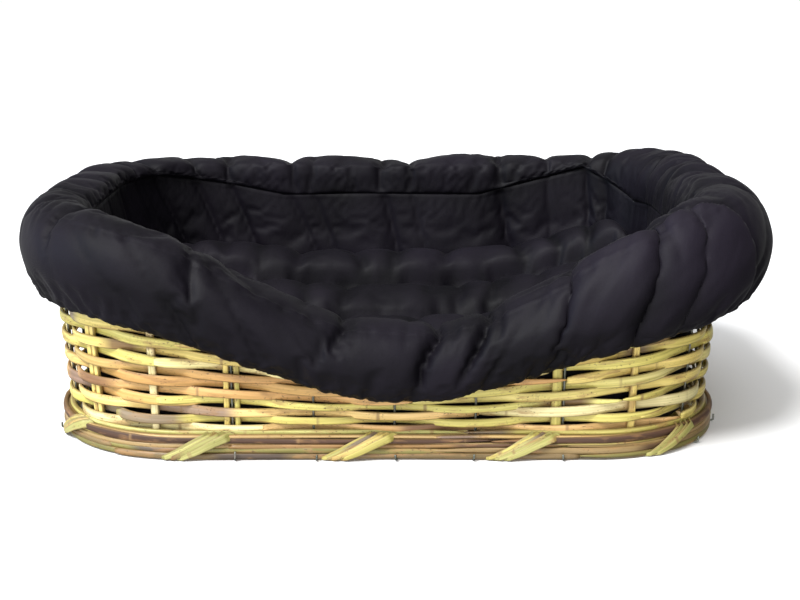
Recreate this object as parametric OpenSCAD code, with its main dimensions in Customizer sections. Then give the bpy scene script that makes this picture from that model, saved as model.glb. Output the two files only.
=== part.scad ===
// Wicker pet bed: a woven cane basket with a dipped front, a padded liner that hangs over the rim
// and a loose cushion with lengthwise rolls. The liner lifts off, and the cushion lifts out of it.
// Origin: centre of the resting face. +X runs along the length, the dipped front faces -Y, +Z is up.
// Most shapes are swept along the foot outline. "d" is the distance along it from the front centre,
// anticlockwise seen from above, and "off" is how far outside the outline a point lies.

/* [Basket] */
// length of the foot border, end to end (mm)
base_length = 800; // [740:10:880]
// depth of the foot border, front to back (mm)
base_depth = 538; // [500:2:600]
// plan radius of the foot border's corners (mm)
corner_radius = 169; // [150:1:190]
// height of the cane rim at the ends and back (mm)
side_height = 243; // [235:1:275]
// height of the cane rim at the lowest point of the front (mm)
front_height = 128; // [122:1:140]
// distance along the outline from the lowest point to where the dip ends (mm)
dip_reach = 370; // [320:5:400]
// how far the lowest point lies to the right of the front centre (mm)
dip_centre = 20; // [0:5:40]
// how far the wall moves outward for each millimetre of height
wall_lean = 0.074; // [0.05:0.001:0.09]

/* [Weave] */
// thickness of a split reed (mm)
reed_thickness = 4; // [3.5:0.1:4.2]
// share of the row pitch that a reed fills
reed_fill = 0.875; // [0.8:0.005:0.93]
// share by which the rows lie closer together at the lowest point of the front
front_squeeze = 0.3; // [0.26:0.01:0.32]
// thickness of a cane stake (mm)
stake_thickness = 4.8; // [4.2:0.1:5]
// diameter of a steel wire stake (mm)
wire_diameter = 3.2; // [2.5:0.1:4]

/* [Liner] */
// thickness of the padded wall panel (mm)
wall_padding = 19; // [14:1:19]
// how far the cuff swells outside the rim (mm)
cuff_swell = 31; // [20:1:36]
// height of the cuff above the rim at the front and back centre (mm)
cuff_rise = 30; // [24:1:36]
// how far the hem hangs below the rim at the lowest point of the front (mm)
hem_drop = 54; // [44:1:60]
// thickness of the liner's fabric layers (mm)
cloth = 2; // [1.5:0.1:2.5]

/* [Cushion] */
// height of the back roll above the floor the basket stands on (mm)
back_roll_height = 160; // [130:1:170]
// height of the front roll above the floor the basket stands on (mm)
front_roll_height = 105; // [95:1:120]
// number of lengthwise rolls
roll_count = 4; // [3:1:5]

/* [Hidden] */
half_length = base_length / 2;
half_depth = base_depth / 2;
clearance = 0.3;

// foot outline: half of a straight front, one corner arc and half of a straight end per quarter
front_straight = half_length - corner_radius;
end_straight = half_depth - corner_radius;
corner_arc = PI * corner_radius / 2;
quarter = front_straight + corner_arc + end_straight;
perimeter = 4 * quarter;

// foot border and floor
foot_reed_height = 9;
foot_reed_depth = 12;
band_height = 8;
foot_top = 2 * (foot_reed_height + clearance) + band_height + 2.9;
frame_bottom = 1;
frame_height = 12.2;
frame_depth = 11.5;
floor_level = 20;
slat_count = 7;
slat_width = 14;
slat_thickness = 5;
floor_cane_count = 13;
floor_cane_width = 25;
floor_cane_thickness = 3;
floor_top = 26.5;

// wall: the stakes lean along this line, and the reeds pass on either side of it
stake_line_at_floor = -20.2;
stake_count = 26;
stake_pitch = perimeter / stake_count;
stake_phase = 8;
stake_bottom = 3;
steps_per_stake = 3;
row_count = 17;
full_rows = 10;
rim_height = 14;
rim_thickness = 7;
weave_height = side_height - rim_height - foot_top;
row_pitch = weave_height / row_count;
crossing = 6.2;

// lashings: thin split cane wound round the foot border and over the rim hoops
lashing_width = 9;
lashing_thickness = 1.6;
foot_lashing_count = 13;
foot_lashing_phase = -5;
foot_lashing_width = 20;
foot_lashing_slant = 46;
rim_lashing_slant = 12;

// liner, measured from the stake line at the rim
liner_stations = 52;
panel_gap = 15.5;
panel_bottom = floor_top + 0.5;
panel_floor_thickness = 8;
slot_half = 14.5;
slot_top = 4.2;
stitch_drop = 13.7;
inner_swell = 26;
end_extra_rise = 14;
end_extra_drop = 26;
hem_width = 8;
elastic_height = 6;
filling_gap = 2.4;

// cushion
cushion_inset = 54;
cushion_bottom = panel_bottom + panel_floor_thickness + 1;
cushion_seam = cushion_bottom + 28;
cushion_cloth = 2;
left_climb = 30;
right_climb = 110;
valley_depth = 22;
grid_along = 16;
grid_across = 12;
cushion_base_thickness = 2;
filling_drop = 4;

function weaver_name(row) = str("weaver_", row < 9 ? "0" : "", row + 1);

// the order of stake kinds along the outline, used twice round the basket
stake_kinds = [
    "wire", "wire", "wide", "cane", "wire", "wire", "trio",
    "wire", "wide", "pair", "cane", "trio", "wire"
];

// each kind's canes as [sideways place, width], then the sideways places of its wires
function canes_of(kind) =
    kind == "wide" ? [[-1, 12]]
    : kind == "cane" ? [[0, 9]]
    : kind == "pair" ? [[-4.4, 8], [4.4, 8]]
    : kind == "trio" ? [[-6, 7], [6, 7]]
    : [];
function wires_of(kind) =
    kind == "wide" ? [7.2]
    : kind == "wire" || kind == "trio" ? [0]
    : [];
function stake_kind(i) = stake_kinds[i % len(stake_kinds)];
function stake_distance(i) = stake_phase + i * stake_pitch;

// ---------- outline ----------

// [x, y, normal angle] on the front right quarter
function quarter_point(d) =
    d < front_straight ? [d, -half_depth, -90]
    : d < front_straight + corner_arc ? corner_point(-90 + 90 * (d - front_straight) / corner_arc)
    : [half_length, d - quarter, 0];
function corner_point(angle) = [
    front_straight + corner_radius * cos(angle),
    -end_straight + corner_radius * sin(angle),
    angle
];

function wrapped(d) = (d % perimeter + perimeter) % perimeter;

// [x, y, normal angle] anywhere on the outline, mirrored from the first quarter
function outline_point(d) =
    let (w = wrapped(d), q = floor(w / quarter))
    let (p = quarter_point(q % 2 == 0 ? w - q * quarter : (q + 1) * quarter - w))
    q == 0 ? p
    : q == 1 ? [p.x, -p.y, -p.z]
    : q == 2 ? [-p.x, -p.y, p.z + 180]
    : [-p.x, p.y, 180 - p.z];

function place(d, off, z) =
    let (p = outline_point(d))
    [p.x + off * cos(p.z), p.y + off * sin(p.z), z];

function stations(count) = [for (i = [0 : count - 1]) i * perimeter / count];

// half the depth of the outline, moved by off, at a distance x from the middle
function half_depth_at(x, off) =
    let (r = corner_radius + off, beyond = max(0, abs(x) - front_straight))
    end_straight + sqrt(max(0, r * r - beyond * beyond));

// ---------- wall and rim ----------

function stake_line(z) = stake_line_at_floor + wall_lean * z;

// signed distance along the outline from the lowest point of the rim
function from_dip(d) = wrapped(d - dip_centre + perimeter / 2) - perimeter / 2;
function dip_share(d) =
    let (reach = min(1, abs(from_dip(d)) / dip_reach))
    pow(cos(90 * reach), 2);
function rim_z(d) = side_height - (side_height - front_height) * dip_share(d);

// ---------- solids from rings of points ----------

function flat(lists) = [for (list = lists) for (item = list) item];

// two triangles between the point lists of neighbouring rings
function ring_faces(near, far, size) = [
    for (j = [0 : size - 1])
        let (a = near * size + j, b = near * size + (j + 1) % size)
        let (c = far * size + (j + 1) % size, e = far * size + j)
        each [[a, b, c], [a, c, e]]
];

// a closed band: the last ring joins the first
module sweep_loop(rings) {
    size = len(rings[0]);
    count = len(rings);
    polyhedron(
        points = flat(rings),
        faces = flat([for (i = [0 : count - 1]) ring_faces(i, (i + 1) % count, size)])
    );
}

// an open strip of four-sided rings with flat ends
module sweep_strip(rings) {
    last = 4 * (len(rings) - 1);
    polyhedron(
        points = flat(rings),
        faces = concat(
            flat([for (i = [0 : len(rings) - 2]) ring_faces(i, i + 1, 4)]),
            [[2, 1, 0], [3, 2, 0]],
            [[last, last + 1, last + 2], [last, last + 2, last + 3]]
        )
    );
}

// a four-sided ring across a reed, seen along the outline
function reed_ring(d, off, z, thickness, height) = [
    place(d, off - thickness / 2, z - height / 2),
    place(d, off + thickness / 2, z - height / 2),
    place(d, off + thickness / 2, z + height / 2),
    place(d, off - thickness / 2, z + height / 2)
];

// a flat shape whose edge follows the outline
module outline_shape(off) {
    polygon([for (d = stations(stake_count * steps_per_stake))
        let (p = place(d, off, 0)) [p.x, p.y]]);
}

module outline_plate(off, bottom, height) {
    translate([0, 0, bottom])
        linear_extrude(height)
            outline_shape(off);
}

module outline_ring(outer, depth, bottom, height) {
    translate([0, 0, bottom])
        linear_extrude(height)
            difference() {
                outline_shape(outer);
                outline_shape(outer - depth);
            }
}

// ---------- floor ----------

module base_frame() {
    color("burlywood")
        outline_ring(stake_line_at_floor - 4.3, frame_depth, frame_bottom, frame_height);
}

slat_pitch = 2 * (half_length - 100) / (slat_count - 1);
slat_off = stake_line_at_floor - 9;
function slat_x(i) = -half_length + 100 + i * slat_pitch;

module base_slats() {
    color("peru")
        for (i = [0 : slat_count - 1])
            translate([slat_x(i), 0, floor_level])
                cube([slat_width, 2 * half_depth_at(abs(slat_x(i)) + slat_width / 2, slat_off),
                    slat_thickness], center = true);
}

floor_weave = (slat_thickness + floor_cane_thickness) / 2 + 3 * clearance;
floor_cane_pitch = 2 * (half_depth - 73) / (floor_cane_count - 1);

// the reach of a floor cane along X, from the corner arc at its widest side
function floor_cane_reach(y) =
    let (r = corner_radius + slat_off, beyond = max(0, abs(y) + floor_cane_width / 2 - end_straight))
    front_straight + sqrt(max(0, r * r - beyond * beyond));
function floor_cane_z(x, row) =
    floor_level + floor_weave * sin(180 * (x - slat_x(0)) / slat_pitch + 90 + 180 * row);

module floor_cane(row) {
    y = -half_depth + 73 + row * floor_cane_pitch;
    reach = floor_cane_reach(y);
    half_w = floor_cane_width / 2;
    half_t = floor_cane_thickness / 2;
    inner = [for (i = [-1 : 2 * slat_count]) slat_x(0) + i * slat_pitch / 2];
    spots = concat([-reach], [for (x = inner) if (abs(x) < reach - 5) x], [reach]);
    sweep_strip([for (x = spots)
        let (z = floor_cane_z(x, row))
        [[x, y - half_w, z - half_t], [x, y - half_w, z + half_t],
         [x, y + half_w, z + half_t], [x, y + half_w, z - half_t]]]);
}

module base_canes() {
    color("burlywood")
        for (row = [0 : floor_cane_count - 1])
            floor_cane(row);
}

// ---------- foot border ----------

module foot_reed_lower() {
    color("darkkhaki")
        outline_ring(0, foot_reed_depth, 0, foot_reed_height);
}

module foot_reed_upper() {
    color("khaki")
        outline_ring(-0.5, foot_reed_depth - 0.5, foot_reed_height + clearance, foot_reed_height);
}

module foot_band() {
    color("saddlebrown")
        outline_ring(-2, foot_reed_depth - 3, 2 * (foot_reed_height + clearance), band_height);
}

// a thin strip bent over the foot border: up the inside, over the top and down the outside
module foot_lashing(d) {
    inside = -foot_reed_depth - 0.5 - clearance - lashing_thickness / 2;
    outside = lashing_thickness / 2 + 1.9;
    top = foot_top - 1.6;
    half_t = lashing_thickness / 2;
    half_w = foot_lashing_width / 2;
    // each stop is [shift along the outline, off, z, off of the thickness direction, its z]
    stops = [
        [0, inside, 3, -half_t, 0],
        [0, inside, top, -half_t, half_t],
        [0, outside, top, half_t, half_t],
        [-foot_lashing_slant / 2, outside, top / 2 + 1, half_t, 0],
        [-foot_lashing_slant, outside, 2, half_t, 0]
    ];
    sweep_strip([for (s = stops)
        [for (c = [[-1, -1], [-1, 1], [1, 1], [1, -1]])
            place(d + s[0] + c[0] * half_w, s[1] + c[1] * s[3], s[2] + c[1] * s[4])]]);
}

module foot_lashings() {
    color("palegoldenrod")
        for (i = [0 : foot_lashing_count - 1])
            foot_lashing(foot_lashing_phase + i * perimeter / foot_lashing_count);
}

// ---------- stakes ----------

// places a child at stake i, leaning with the wall, with the outward side along +X
module at_stake(i, sideways) {
    p = outline_point(stake_distance(i));
    translate([p.x, p.y, 0])
        rotate([0, 0, p.z])
            translate([stake_line(stake_bottom), sideways, stake_bottom])
                rotate([0, atan(wall_lean), 0])
                    children();
}

function stake_length(i) = rim_z(stake_distance(i)) - stake_bottom - 3;

// a split cane: flat inside, rounded edges outside
module cane_stake(width, length) {
    half_t = stake_thickness / 2;
    half_w = width / 2;
    linear_extrude(length)
        polygon([[-half_t, -half_w], [half_t / 2, -half_w], [half_t, -half_w / 2],
            [half_t, half_w / 2], [half_t / 2, half_w], [-half_t, half_w]]);
}

module wire_stakes() {
    color("silver")
        for (i = [0 : stake_count - 1], sideways = wires_of(stake_kind(i)))
            at_stake(i, sideways)
                cylinder(h = stake_length(i), d = wire_diameter, $fn = 8);
}

module cane_stakes() {
    color("tan")
        for (i = [0 : stake_count - 1], cane = canes_of(stake_kind(i)))
            at_stake(i, cane[0])
                cane_stake(cane[1], stake_length(i));
}

// ---------- weavers ----------

// the rows lie closer together under the dip
function pitch_at(d) = row_pitch * (1 - front_squeeze * dip_share(d));
function row_z(d, row) = foot_top + (row + 0.5) * pitch_at(d);

// a row passes outside one stake and inside the next, and the next row does the opposite
function weave_off(d, row) =
    stake_line(row_z(d, row)) + crossing * cos(180 * (d - stake_phase) / stake_pitch + 180 * row);

// how far from the lowest point a row turns back, where its top meets the sloping rim
function row_start(row) =
    let (spare = weave_height - (row + 1) * row_pitch)
    let (slope = side_height - front_height - front_squeeze * (row + 1) * row_pitch)
    dip_reach * acos(sqrt(max(0, spare / slope))) / 90;

function weave_spots() = [for (i = [0 : stake_count * steps_per_stake - 1])
    stake_phase + i * stake_pitch / steps_per_stake];

function short_row_spots(row) =
    let (start = row_start(row), end = perimeter - start, margin = 4)
    concat(
        [dip_centre + start],
        [for (d = weave_spots())
            let (gone = wrapped(d - dip_centre))
            if (gone > start + margin && gone < end - margin) dip_centre + gone],
        [dip_centre + end]
    );

function sorted(list) =
    len(list) < 2 ? list
    : let (pivot = list[0])
      concat(
          sorted([for (v = list) if (v < pivot) v]),
          [pivot],
          sorted([for (v = list) if (v > pivot) v])
      );

function weave_ring(d, row) =
    reed_ring(d, weave_off(d, row), row_z(d, row), reed_thickness, pitch_at(d) * reed_fill);

module weaver(row) {
    color(row % 3 == 1 ? "tan" : "darkkhaki")
        if (row < full_rows)
            sweep_loop([for (d = weave_spots()) weave_ring(d, row)]);
        else
            sweep_strip([for (d = sorted(short_row_spots(row))) weave_ring(d, row)]);
}

// ---------- rim ----------

hoop_off = stake_thickness / 2 + rim_thickness / 2 + 1.6;

function hoop_ring(d, side) =
    reed_ring(d, stake_line(rim_z(d)) + side * hoop_off, rim_z(d) - rim_height / 2, rim_thickness,
        rim_height);

module rim_hoop_outer() {
    color("burlywood")
        sweep_loop([for (d = stations(liner_stations)) hoop_ring(d, 1)]);
}

module rim_hoop_inner() {
    color("burlywood")
        sweep_loop([for (d = stations(liner_stations)) hoop_ring(d, -1)]);
}

// a thin strip over both hoops, slanted along the rim
module rim_lashing(d) {
    inner_side = hoop_off + rim_thickness / 2 + 1.6;
    outer_side = hoop_off + rim_thickness / 2 + 1;
    rise = 1.9;
    half_t = lashing_thickness / 2;
    half_w = lashing_width / 2;
    // each stop is [shift along the outline, off, drop below the rim, thickness off, thickness z]
    stops = [
        [0, -inner_side, rim_height - 2, -half_t, 0],
        [0, -inner_side, -rise, -half_t, half_t],
        [rim_lashing_slant, outer_side, -rise, half_t, half_t],
        [rim_lashing_slant, outer_side, rim_height - 2, half_t, 0]
    ];
    sweep_strip([for (s = stops)
        [for (c = [[-1, -1], [-1, 1], [1, 1], [1, -1]])
            let (spot = d + s[0] + c[0] * half_w)
            place(spot, stake_line(rim_z(spot)) + s[1] + c[1] * s[3], rim_z(spot) - s[2] + c[1] * s[4])]]);
}

module rim_lashings() {
    color("palegoldenrod")
        for (i = [0 : stake_count - 1])
            rim_lashing((i + 0.5) * stake_pitch);
}

// ---------- liner ----------

// share of the way from the middle of a long side to an end
function end_share(d) = pow(outline_point(d).x / half_length, 2);
function crest(d) = cuff_rise + end_extra_rise * end_share(d);
function drop(d) =
    hem_drop + end_extra_drop * (rim_z(d) - front_height) / (side_height - front_height);

module liner_floor() {
    color("black")
        outline_plate(stake_line(panel_bottom) - panel_gap - wall_padding - 2.4, panel_bottom,
            panel_floor_thickness);
}

// one layer of the wall panel, between two depths measured inward from its cane side
module panel_layer(near, far, lowered = clearance) {
    sweep_loop([for (d = stations(liner_stations))
        let (top = rim_z(d) - stitch_drop - lowered)
        [place(d, stake_line(panel_bottom) - panel_gap - far, panel_bottom),
         place(d, stake_line(panel_bottom) - panel_gap - near, panel_bottom),
         place(d, stake_line(top) - panel_gap - near, top),
         place(d, stake_line(top) - panel_gap - far, top)]]);
}

module liner_wall_lining() {
    color("dimgray")
        panel_layer(0, cloth);
}

module liner_wall_filling() {
    color("white")
        panel_layer(cloth + clearance, wall_padding - cloth - clearance, filling_gap);
}

module liner_wall_cover() {
    color("black")
        panel_layer(wall_padding - cloth, wall_padding);
}

// the cuff's outside at one station, from the hem over the crest to the inner stitch line, as
// [off, z] from the stake line and the rim. "inset" moves it inward by a layer of cloth
function cuff_outside(d, inset) =
    let (outer = slot_half + cuff_swell - inset, top = crest(d) - inset, hem = -drop(d))
    let (inner = -slot_half - inner_swell + inset)
    [
        [slot_half + hem_width + 2 - inset, hem],
        [outer - 13, hem + 12 + inset / 2],
        [outer - 3, hem / 2],
        [outer, -4],
        [outer - 7, top / 2 + 3],
        [outer / 2, top - 5],
        [0, top],
        [inner / 2, top - 4],
        [inner + 3, top / 2],
        [inner, 2],
        [-panel_gap - wall_padding + inset, -stitch_drop]
    ];

// the slot side, from the inner stitch line over the rim to the hem
function cuff_slot(d, inset) = [
    [-slot_half - inset, -stitch_drop],
    [-slot_half - inset, slot_top + inset],
    [slot_half + inset, slot_top + inset],
    [slot_half + inset, -drop(d)]
];

function reversed(list) = [for (i = [len(list) - 1 : -1 : 0]) list[i]];

// one layer of the cuff: the profile function's points placed on the rim
function on_rim(d, profile) =
    let (line = stake_line(rim_z(d)))
    [for (p = profile) place(d, line + p[0], rim_z(d) + p[1])];

module liner_cuff_cover() {
    color("black")
        sweep_loop([for (d = stations(liner_stations))
            on_rim(d, concat(cuff_outside(d, 0), reversed(cuff_outside(d, cloth))))]);
}

module liner_cuff_lining() {
    color("dimgray")
        sweep_loop([for (d = stations(liner_stations))
            on_rim(d, concat(cuff_slot(d, 0), reversed(cuff_slot(d, cloth))))]);
}

// raises the two hem points so that the elastic has room below the filling
function above_elastic(points, d) = [for (p = points) [p[0], max(p[1], elastic_height + 2 - drop(d))]];

module liner_cuff_filling() {
    gap = cloth + 7 * clearance;
    color("white")
        sweep_loop([for (d = stations(liner_stations))
            on_rim(d, above_elastic(concat(cuff_outside(d, gap), cuff_slot(d, gap)), d))]);
}

module liner_hem_elastic() {
    color("white")
        sweep_loop([for (d = stations(liner_stations))
            reed_ring(d, stake_line(rim_z(d)) + slot_half + cloth + 2.2,
                rim_z(d) - drop(d) + elastic_height / 2 + 0.5, 3, elastic_height)]);
}

// ---------- cushion ----------

cushion_half_length = half_length - cushion_inset;

// the crown of each roll, higher towards the back
function roll_crown(roll) =
    front_roll_height + (back_roll_height - front_roll_height) * pow(roll / (roll_count - 1), 2);

// the height of the rolls at a share of the depth, -1 at the front edge and 1 at the back edge,
// with a valley at every channel
function rolls_z(share) =
    let (along = (share + 1) / 2 * roll_count)
    let (roll = min(roll_count - 1, max(0, floor(along))), across = 2 * (along - roll) - 1)
    roll_crown(roll) - valley_depth * pow(abs(across), 3);

// the cushion climbs gently towards its left end and steeply against the right one
function climb_z(reach) = reach < 0 ? left_climb * pow(reach, 2) : right_climb * pow(reach, 4);

// the cushion rounds off at its edge
function cushion_z(reach, share) =
    let (rounding = sqrt((1 - pow(reach, 12)) * (1 - pow(share, 10))))
    let (crown = rolls_z(share) + climb_z(reach))
    cushion_seam + (crown - cushion_seam) * rounding;

// a grid that fills the cushion's outline, moved inward by inset, as rows of [x, y, share of the
// half length, share of the half depth]
function cushion_grid(inset) = [for (i = [0 : grid_along])
    let (along = sin(90 * (2 * i / grid_along - 1)), x = (cushion_half_length - inset) * along)
    let (reach = half_depth_at(x, -cushion_inset - inset))
    [for (j = [0 : grid_across])
        let (share = 2 * j / grid_across - 1)
        [x, reach * share, along, share]]];

// a closed solid between two surfaces that share one grid
module between_surfaces(lower, upper) {
    across = grid_across + 1;
    count = across * (grid_along + 1);
    cell = [for (i = [0 : grid_along - 1]) for (j = [0 : grid_across - 1]) i * across + j];
    edge = concat(
        [for (i = [0 : grid_along - 1]) [i * across, (i + 1) * across]],
        [for (j = [0 : grid_across - 1]) [grid_along * across + j, grid_along * across + j + 1]],
        [for (i = [grid_along : -1 : 1]) [i * across + grid_across, (i - 1) * across + grid_across]],
        [for (j = [grid_across : -1 : 1]) [j, j - 1]]
    );
    polyhedron(
        points = concat(flat(lower), flat(upper)),
        faces = concat(
            flat([for (c = cell) [[c, c + across, c + across + 1], [c, c + across + 1, c + 1]]]),
            flat([for (c = cell) let (u = c + count)
                [[u, u + across + 1, u + across], [u, u + 1, u + across + 1]]]),
            flat([for (e = edge) [[e[0], e[0] + count, e[1] + count], [e[0], e[1] + count, e[1]]]])
        )
    );
}

function raised(grid, lift) = [for (line = grid)
    [for (p = line) [p[0], p[1], cushion_z(p[2], p[3]) + lift]]];
function level(grid, z) = [for (line = grid) [for (p = line) [p[0], p[1], z]]];

module cushion_cover_top() {
    grid = cushion_grid(0);
    color("black")
        between_surfaces(raised(grid, -cushion_cloth), raised(grid, 0));
}

module cushion_filling() {
    grid = cushion_grid(cushion_cloth + 3 * clearance);
    color("white")
        between_surfaces(level(grid, cushion_bottom + cushion_base_thickness + clearance),
            raised(grid, -cushion_cloth - filling_drop));
}

module cushion_cover_base() {
    color("black") {
        outline_plate(-cushion_inset, cushion_bottom, cushion_base_thickness);
        outline_ring(-cushion_inset, cushion_cloth - clearance, cushion_bottom,
            cushion_seam - cushion_cloth - clearance - cushion_bottom);
    }
}

base_frame();
base_slats();
base_canes();
foot_reed_lower();
foot_reed_upper();
foot_band();
foot_lashings();
wire_stakes();
cane_stakes();
for (row = [0 : row_count - 1])
    weaver(row);
rim_hoop_outer();
rim_hoop_inner();
rim_lashings();
liner_floor();
liner_wall_lining();
liner_wall_filling();
liner_wall_cover();
liner_cuff_lining();
liner_cuff_filling();
liner_cuff_cover();
liner_hem_elastic();
cushion_cover_top();
cushion_cover_base();
cushion_filling();
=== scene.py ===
"""Wicker pet bed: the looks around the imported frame. Lengths are in metres, angles in radians.

Most shapes follow the basket's outline. "d" is the distance along it from the front centre,
anticlockwise seen from above, and "off" is how far outside the foot border's edge a point lies.
"""

import math

import bpy
import numpy as np
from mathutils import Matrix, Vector


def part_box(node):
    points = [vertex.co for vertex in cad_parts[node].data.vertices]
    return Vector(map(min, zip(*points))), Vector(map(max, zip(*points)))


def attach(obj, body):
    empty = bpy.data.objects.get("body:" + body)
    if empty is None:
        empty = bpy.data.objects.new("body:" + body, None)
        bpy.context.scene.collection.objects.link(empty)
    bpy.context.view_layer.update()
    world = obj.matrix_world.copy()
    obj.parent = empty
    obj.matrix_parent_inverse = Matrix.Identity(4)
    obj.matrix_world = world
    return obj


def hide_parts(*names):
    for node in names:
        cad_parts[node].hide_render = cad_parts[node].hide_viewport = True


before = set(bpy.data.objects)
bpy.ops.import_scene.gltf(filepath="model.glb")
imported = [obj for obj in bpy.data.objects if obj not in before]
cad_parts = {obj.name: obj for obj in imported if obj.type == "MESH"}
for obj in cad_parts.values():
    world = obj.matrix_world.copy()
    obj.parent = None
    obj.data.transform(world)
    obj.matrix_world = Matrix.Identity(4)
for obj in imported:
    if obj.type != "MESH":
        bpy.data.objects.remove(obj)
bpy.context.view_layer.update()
MM = 0.001

# ---------- sizes taken from the frame ----------

foot_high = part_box("foot_reed_lower")[1]
band_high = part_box("foot_band")[1]
hoop_low, hoop_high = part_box("rim_hoop_outer")
panel_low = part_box("liner_wall_cover")[0]
floor_low, floor_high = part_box("liner_floor")
cushion_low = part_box("cushion_cover_base")[0]
roll_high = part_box("cushion_cover_top")[1]
weaver_names = sorted(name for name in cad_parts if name.startswith("weaver_"))

HALF_LENGTH = foot_high.x
HALF_DEPTH = foot_high.y
CORNER = 169 * MM  # plan radius of the foot border's corners
SIDE_HEIGHT = hoop_high.z
RIM_HEIGHT = 14 * MM
FRONT_HEIGHT = hoop_low.z + RIM_HEIGHT
BAND_TOP = band_high.z
FOOT_TOP = BAND_TOP + 2.9 * MM
ROW_PITCH = (SIDE_HEIGHT - RIM_HEIGHT - FOOT_TOP) / len(weaver_names)

# the dip in the front, how much closer the rows lie there, the wall's lean and the stakes,
# as the solids have them
DIP_REACH = 370 * MM
DIP_CENTRE = 20 * MM
FRONT_SQUEEZE = 0.3
STAKE_LINE_AT_FLOOR = -20.2 * MM
WALL_LEAN = 0.074
STAKE_COUNT = 26
STAKE_PHASE = 8 * MM
STAKE_KINDS = (
    "wire", "wire", "wide", "cane", "wire", "wire", "trio",
    "wire", "wide", "pair", "cane", "trio", "wire",
)
# the split canes of each kind, as [sideways, width], and the sideways place of its wire, in mm
CANES = {
    "wide": ((-1, 12),),
    "cane": ((0, 9),),
    "pair": ((-4.4, 8), (4.4, 8)),
    "trio": ((-6, 7), (6, 7)),
}
WIRES = {"wide": 7.2, "wire": 0, "trio": 0}

STRAIGHT_FRONT = HALF_LENGTH - CORNER
STRAIGHT_END = HALF_DEPTH - CORNER
CORNER_ARC = math.pi * CORNER / 2
QUARTER = STRAIGHT_FRONT + CORNER_ARC + STRAIGHT_END
PERIMETER = 4 * QUARTER
STAKE_PITCH = PERIMETER / STAKE_COUNT


# ---------- the outline, the wall and the rim ----------

def outline(d):
    """x, y and the outward normal's x, y at distances d along the outline."""
    w = np.mod(np.asarray(d, float), PERIMETER)
    quarter = np.floor(w / QUARTER).astype(int)
    along = np.where(quarter % 2 == 0, w - quarter * QUARTER, (quarter + 1) * QUARTER - w)
    turn = np.clip((along - STRAIGHT_FRONT) / CORNER_ARC, 0, 1) * math.pi / 2
    x = np.minimum(along, STRAIGHT_FRONT) + CORNER * np.sin(turn)
    y = -STRAIGHT_END - CORNER * np.cos(turn) + np.maximum(0, along - STRAIGHT_FRONT - CORNER_ARC)
    side_x = np.where(quarter < 2, 1, -1)
    side_y = np.where((quarter == 0) | (quarter == 3), 1, -1)
    return x * side_x, y * side_y, np.sin(turn) * side_x, -np.cos(turn) * side_y


def place(d, off, z):
    """Points at distance d, offset off and height z, as an array of triples."""
    x, y, nx, ny = outline(d)
    return np.stack(np.broadcast_arrays(x + off * nx, y + off * ny, z), axis=-1)


def outward(d):
    """The outward unit normal at distance d, as triples."""
    nx, ny = outline(d)[2:]
    return np.stack([nx, ny, np.zeros_like(nx)], axis=-1)


def along_gap(d, spot):
    """Signed distance along the outline from a spot."""
    return np.mod(d - spot + PERIMETER / 2, PERIMETER) - PERIMETER / 2


def dip_share(d):
    """1 at the lowest point of the front, falling to 0 where the dip ends."""
    reach = np.minimum(1, np.abs(along_gap(d, DIP_CENTRE)) / DIP_REACH)
    return np.cos(math.pi / 2 * reach) ** 2


def rim_z(d):
    """Height of the cane rim's top."""
    return SIDE_HEIGHT - (SIDE_HEIGHT - FRONT_HEIGHT) * dip_share(d)


def stake_line(z):
    """The off of the stakes' centres at a height: the wall leans outward."""
    return STAKE_LINE_AT_FLOOR + WALL_LEAN * z


def pitch_at(d):
    """Height from one row to the next."""
    return ROW_PITCH * (1 - FRONT_SQUEEZE * dip_share(d))


def row_z(d, row):
    """Height of a row's middle."""
    return FOOT_TOP + (row + 0.5) * pitch_at(d)


def all_round(count):
    """Evenly spaced distances once round the outline."""
    return np.arange(count) * PERIMETER / count


def stake_kind(i):
    """The key of stake i in CANES and WIRES."""
    return STAKE_KINDS[i % len(STAKE_KINDS)]


def stake_distance(i):
    """Distance along the outline of stake i."""
    return STAKE_PHASE + i * STAKE_PITCH


# ---------- noise and mesh helpers ----------

def eased(share):
    """A share from 0 to 1 that starts and ends gently."""
    return share * share * (3 - 2 * share)


def bell(gap, reach):
    """1 where gap is 0, falling off smoothly over reach."""
    return np.exp(-((gap / reach) ** 2))


def pick(rng, choices):
    """One of several choices at random."""
    return choices[rng.integers(len(choices))]


def unit(vectors):
    """The same directions with length 1."""
    return vectors / np.maximum(np.linalg.norm(vectors, axis=-1, keepdims=True), 1e-12)


def heading(points):
    """Unit directions along a line of points."""
    return unit(np.gradient(points, axis=0))


def square_to(ahead, vectors):
    """The part of vectors at right angles to unit directions."""
    return vectors - ahead * (vectors * ahead).sum(axis=1)[:, None]


def through(stops, share):
    """Values at shares from 0 to 1 of the way through evenly spaced stops."""
    return np.interp(share, np.linspace(0, 1, len(stops)), stops)


def lapped(d, first, reach):
    """1 at the start of a reed, which lies on the end of the one before, falling to 0."""
    return np.clip(1 - (d - first) / reach, 0, 1)


def hash_noise(numbers, seed):
    """A repeatable value from 0 to 1 for each whole number."""
    value = np.sin(numbers * 127.1 + seed * 311.7) * 43758.5453
    return value - np.floor(value)


def wander(position, wavelength, seed, period=None):
    """Smooth noise from -1 to 1 along a line. With a period it closes on itself."""
    if period is not None:
        count = round(period / wavelength)
        wavelength = period / count
    t = np.asarray(position, float) / wavelength
    near = np.floor(t)
    far = near + 1
    ease = eased(t - near)
    if period is not None:
        near, far = np.mod(near, count), np.mod(far, count)
    low, high = hash_noise(near, seed), hash_noise(far, seed)
    return 2 * (low + (high - low) * ease) - 1


def to_linear(red, green, blue):
    """A colour on the 0 to 255 screen scale, as linear light."""
    c = np.array([red, green, blue]) / 255
    return np.where(c <= 0.04045, c / 12.92, ((c + 0.055) / 1.055) ** 2.4)


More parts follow.
